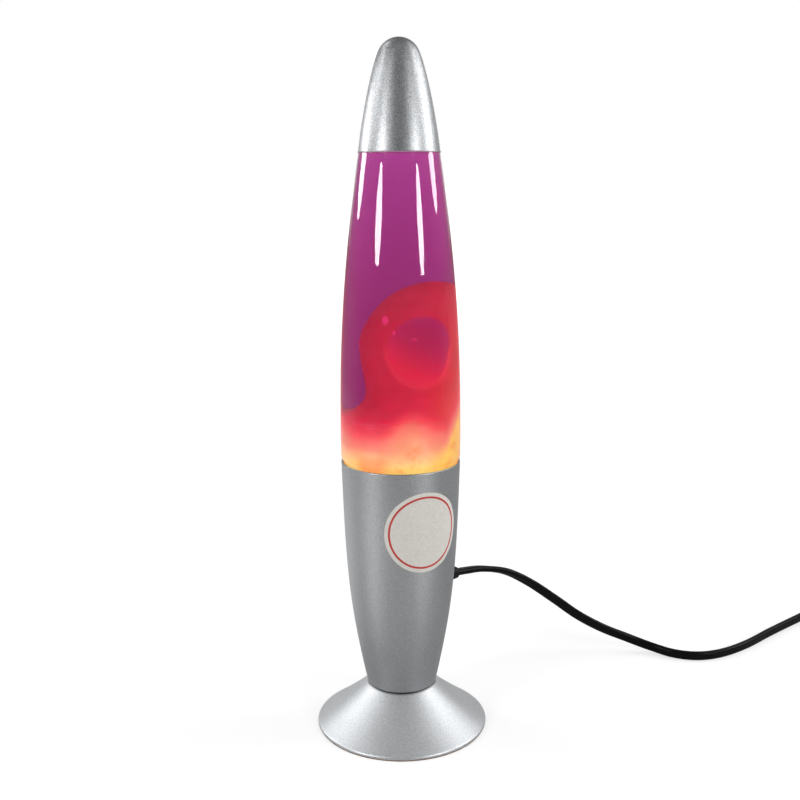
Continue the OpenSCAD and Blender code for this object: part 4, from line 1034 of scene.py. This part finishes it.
def hem_mesh():
    ring = [(HEM_C[0] + HEM_R * math.cos(a), HEM_C[1] + HEM_R * math.sin(a)) for a in circle(HEM_SIDES)]
    verts = [(r * math.cos(t), r * math.sin(t), z) for t in circle(HEM_STEPS) for r, z in ring]
    return verts, ring_faces(HEM_STEPS, HEM_SIDES, closed_rows=True)


add_mesh("cap_hem", hem_mesh(), "cap_body", "silver_paint", 60)


# Steel wire on the bottle's floor: curls wound round a ring
WIRE_RING_R, WIRE_CURL_R, WIRE_D = 15.5, 2.4, 0.9
WIRE_CURLS, WIRE_SPREAD, STEPS_A_CURL = 28, math.radians(348), 18


def curls_mesh():
    turn = np.linspace(0, 1, WIRE_CURLS * STEPS_A_CURL + 1)
    around, curl = WIRE_SPREAD * turn, 2 * math.pi * WIRE_CURLS * turn
    r = WIRE_RING_R + WIRE_CURL_R * np.cos(curl)
    z = HOLLOW_Z + FILL_GAP + WIRE_CURL_R + WIRE_D / 2 + WIRE_CURL_R * np.sin(curl)
    return tube_mesh(round_rings(np.stack([r * np.cos(around), r * np.sin(around), z], 1), WIRE_D / 2, 10))


wire = add_mesh("steel_curls", curls_mesh(), "bottle_body", "plated_steel", 60)
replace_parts(wire, "wire_coil")


# Sticker: a round paper disc on the holder's wall; its turn is from the camera's side, to the right
STICKER_TURN, STICKER_Z, STICKER_R, STICKER_T = math.radians(24), 113.2, 20.7, 0.14
STICKER_RINGS, STICKER_SIDES, STICKER_LIFT = 12, 96, 0.01


def sticker_mesh():
    """Points, faces, and each point's place on the flat disc in shares of its radius."""
    flat = [(0, 0, STICKER_T)]
    for i in range(1, STICKER_RINGS + 1):
        d = STICKER_R * i / STICKER_RINGS
        flat += [(d * math.cos(a), d * math.sin(a), STICKER_T) for a in circle(STICKER_SIDES)]
    flat += [(STICKER_R * math.cos(a), STICKER_R * math.sin(a), STICKER_LIFT) for a in circle(STICKER_SIDES)]
    verts = []
    for across, up, lift in flat:
        r = radius_at(holder_line, STICKER_Z + up)
        a = STICKER_TURN + across / r
        verts.append(((r + lift) * math.sin(a), -(r + lift) * math.cos(a), STICKER_Z + up))
    faces = [(0, 1 + k, 1 + (k + 1) % STICKER_SIDES) for k in range(STICKER_SIDES)]
    faces += [(1 + a, 1 + d, 1 + c, 1 + b)
              for a, b, c, d in ring_faces(STICKER_RINGS + 1, STICKER_SIDES)]
    return verts, faces, [(across / STICKER_R, up / STICKER_R) for across, up, _ in flat]


disc_verts, disc_faces, disc_places = sticker_mesh()
sticker = add_mesh("blank_sticker", (disc_verts, disc_faces), "base", "sticker_paper", 30)
layer = sticker.data.uv_layers.new(name="disc")
for corner in sticker.data.loops:
    layer.data[corner.index].uv = disc_places[corner.vertex_index]


# Wires inside the holder, from the bushing down to the lampholder's terminals
WIRE_R, BRACKET_RISE = 1.1, 10
TERMINAL_SPREAD, TERMINAL_MID_R = math.radians(24), 15.3
TERMINAL_TOP_Z = FOOT_H + HOLDER_WALL + BRACKET_RISE + 6.2
WIRE_OUT, WIRE_FALL = 4, 22


def inner_wire(side):
    a = CORD_EXIT_TURN + side * TERMINAL_SPREAD
    across = np.array([-math.sin(CORD_EXIT_TURN), math.cos(CORD_EXIT_TURN), 0])
    start = EXIT_P - BUSHING_IN * EXIT_DIR + side * (WIRE_R + SEAT_GAP) * across
    end = np.array([TERMINAL_MID_R * math.cos(a), TERMINAL_MID_R * math.sin(a), TERMINAL_TOP_Z])
    path = bezier(start, start - WIRE_OUT * EXIT_DIR, end + [0, 0, WIRE_FALL], end, 48)
    return tube_mesh(round_rings(path, WIRE_R, 16, across, -EXIT_DIR, [0, 0, -1]))


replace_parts(add_mesh("live_lead", inner_wire(1), "base", "brown_wire", 60), "live_wire")
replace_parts(add_mesh("neutral_lead", inner_wire(-1), "base", "blue_wire", 60), "neutral_wire")


# Studio, in metres: background, floor and lights
AMBIENT, ROOM, BACKDROP, CEILING = 0.42, 0.16, 0.75, 0.14
# Painted pools of light on the floor, which only metal sees: their middle and half of their width in degrees,
# and their light
FLOOR_PATCHES = ((-57, 27, 0.74), (44, 21, 0.54), (-130, 42, 0.32))
FLOOR_CORNERS = ((-30, -30, 0), (30, -30, 0), (30, 60, 0), (-30, 60, 0))
SOFT_BOXES = (  # name, shape, turn in degrees, distance, lower and upper edge, width, radiance
    ("box_left", "ELLIPSE", -49, 1.1, 0.345, 0.60, 0.29, 21),
    ("box_right", "ELLIPSE", 48, 1.1, 0.32, 0.60, 0.24, 21),
    ("box_far_left", "ELLIPSE", -114, 1.1, 0.37, 0.62, 0.42, 12.5),
    ("box_far_right", "ELLIPSE", 98, 1.1, 0.41, 0.62, 0.36, 13.5),
    ("upper_left", "RECTANGLE", -46, 1.1, 0.62, 1.30, 0.42, 1.2),
    ("upper_right", "RECTANGLE", 46, 1.1, 0.62, 1.30, 0.40, 0.7),
    ("side_left", "RECTANGLE", -90, 1.1, 0.62, 1.10, 0.46, 3.6),
    ("side_right", "RECTANGLE", 88, 1.1, 0.62, 1.20, 0.46, 3.4),
    ("edge_right", "RECTANGLE", 117, 1.1, 0.62, 0.94, 0.56, 2.7),
    ("high_left", "RECTANGLE", -126, 1.0, 1.00, 2.00, 0.60, 2.0),
    ("high_right", "RECTANGLE", 115, 1.0, 1.00, 2.00, 0.60, 1.2),
)


def studio_world():
    """White to the eye and through glass; metal sees a dim room with a lit backdrop and a paler ceiling."""
    world = bpy.data.worlds.new("studio")
    scene.world = world
    world.use_nodes = True
    sky = Graph(world.node_tree)
    back = sky.tree.nodes["Background"]
    back.inputs["Color"].default_value = (1, 1, 1, 1)
    _, y, z = sky.split(sky.new("ShaderNodeTexCoord").outputs["Generated"])
    glossy, seen = sky.light_path()
    behind = sky.times(sky.span(y, 0.72, 0.97, 0.0, BACKDROP, smooth=True),
                       sky.minus(1.0, sky.span(z, 0.10, 0.30, smooth=True)))
    ceiling = sky.times(sky.span(z, 0.5, 0.9, smooth=True),
                        sky.minus(CEILING, sky.span(y, -0.25, 0.2, 0.0, CEILING, smooth=True)))
    room = sky.plus(sky.plus(behind, ceiling), ROOM)
    lit = sky.plus(sky.times(glossy, sky.minus(room, AMBIENT)), AMBIENT)
    sky.put(back.inputs["Strength"], sky.plus(lit, sky.times(seen, sky.minus(1.0, lit))))


def floor_look():
    """White to the eye, with the object's shadow; metal sees painted pools of light on it towards the front
    lights, and painted shade far off in front.
    """
    look = Look("pale_floor")
    glossy, seen = look.light_path()
    far = look.length(look.coords)
    x, y, _ = look.axes()
    turn = look.math("ARCTAN2", x, look.times(y, -1.0))
    # Painted pools of light that only metal sees, fading out near the lamp and far away
    pale = look.span(turn, math.radians(55), math.radians(95), 0.15, 0.0)
    for middle, half, light in FLOOR_PATCHES:
        off = look.math("ABSOLUTE", look.minus(turn, math.radians(middle)))
        pale = look.plus(look.span(off, 0.0, math.radians(half), light, 0.0, smooth=True), pale)
    pale = look.times(pale, look.span(far, 0.03, 0.22, smooth=True))
    pale = look.times(pale, look.span(far, 0.45, 0.90, 1.0, 0.0, smooth=True))
    # Painted shade far off in front, which only metal sees
    aside = look.math("ABSOLUTE", turn)
    front = look.times(look.span(aside, math.radians(70), math.radians(115), 0.75, 0.0, smooth=True),
                       look.span(far, 0.55, 0.95, smooth=True))
    paper = look.ramp(look.noise(6, 2), (0.3, (0.42, 0.42, 0.42, 1)), (0.7, (0.44, 0.44, 0.44, 1)))
    return look.set(
        Base_Color=look.mix(look.times(glossy, front), paper, (0.02, 0.02, 0.02, 1)),
        Roughness=0.9,
        Specular_IOR_Level=0.0,
        Emission_Color=(1, 1, 1, 1),
        Emission_Strength=look.plus(look.times(seen, look.span(far, 0.35, 1.6, 0.60, 1.0)),
                                    look.times(glossy, pale)),
    )


def soft_box(name, shape, turn, distance, low, high, width, radiance):
    """A soft box that faces the lamp; the turn is from the camera's side, to the right."""
    a = math.radians(turn)
    light = bpy.data.lights.new(name, "AREA")
    light.shape = shape
    light.size, light.size_y = width, high - low
    area = width * (high - low) * (math.pi / 4 if shape == "ELLIPSE" else 1)
    light.energy = radiance * math.pi * area
    obj = bpy.data.objects.new(name, light)
    scene.collection.objects.link(obj)
    obj.matrix_world = (
        Matrix.Translation((distance * math.sin(a), -distance * math.cos(a), (low + high) / 2))
        @ Matrix.Rotation(a, 4, "Z") @ Matrix.Rotation(math.radians(90), 4, "X")
    )
    obj.visible_camera = False
    obj.visible_transmission = False


studio_world()
floor_mesh = bpy.data.meshes.new("floor")
floor_mesh.from_pydata(FLOOR_CORNERS, [], [(0, 1, 2, 3)])
floor_mesh.materials.append(floor_look().material)
floor = bpy.data.objects.new("floor", floor_mesh)
scene.collection.objects.link(floor)
for values in SOFT_BOXES:
    soft_box(*values)
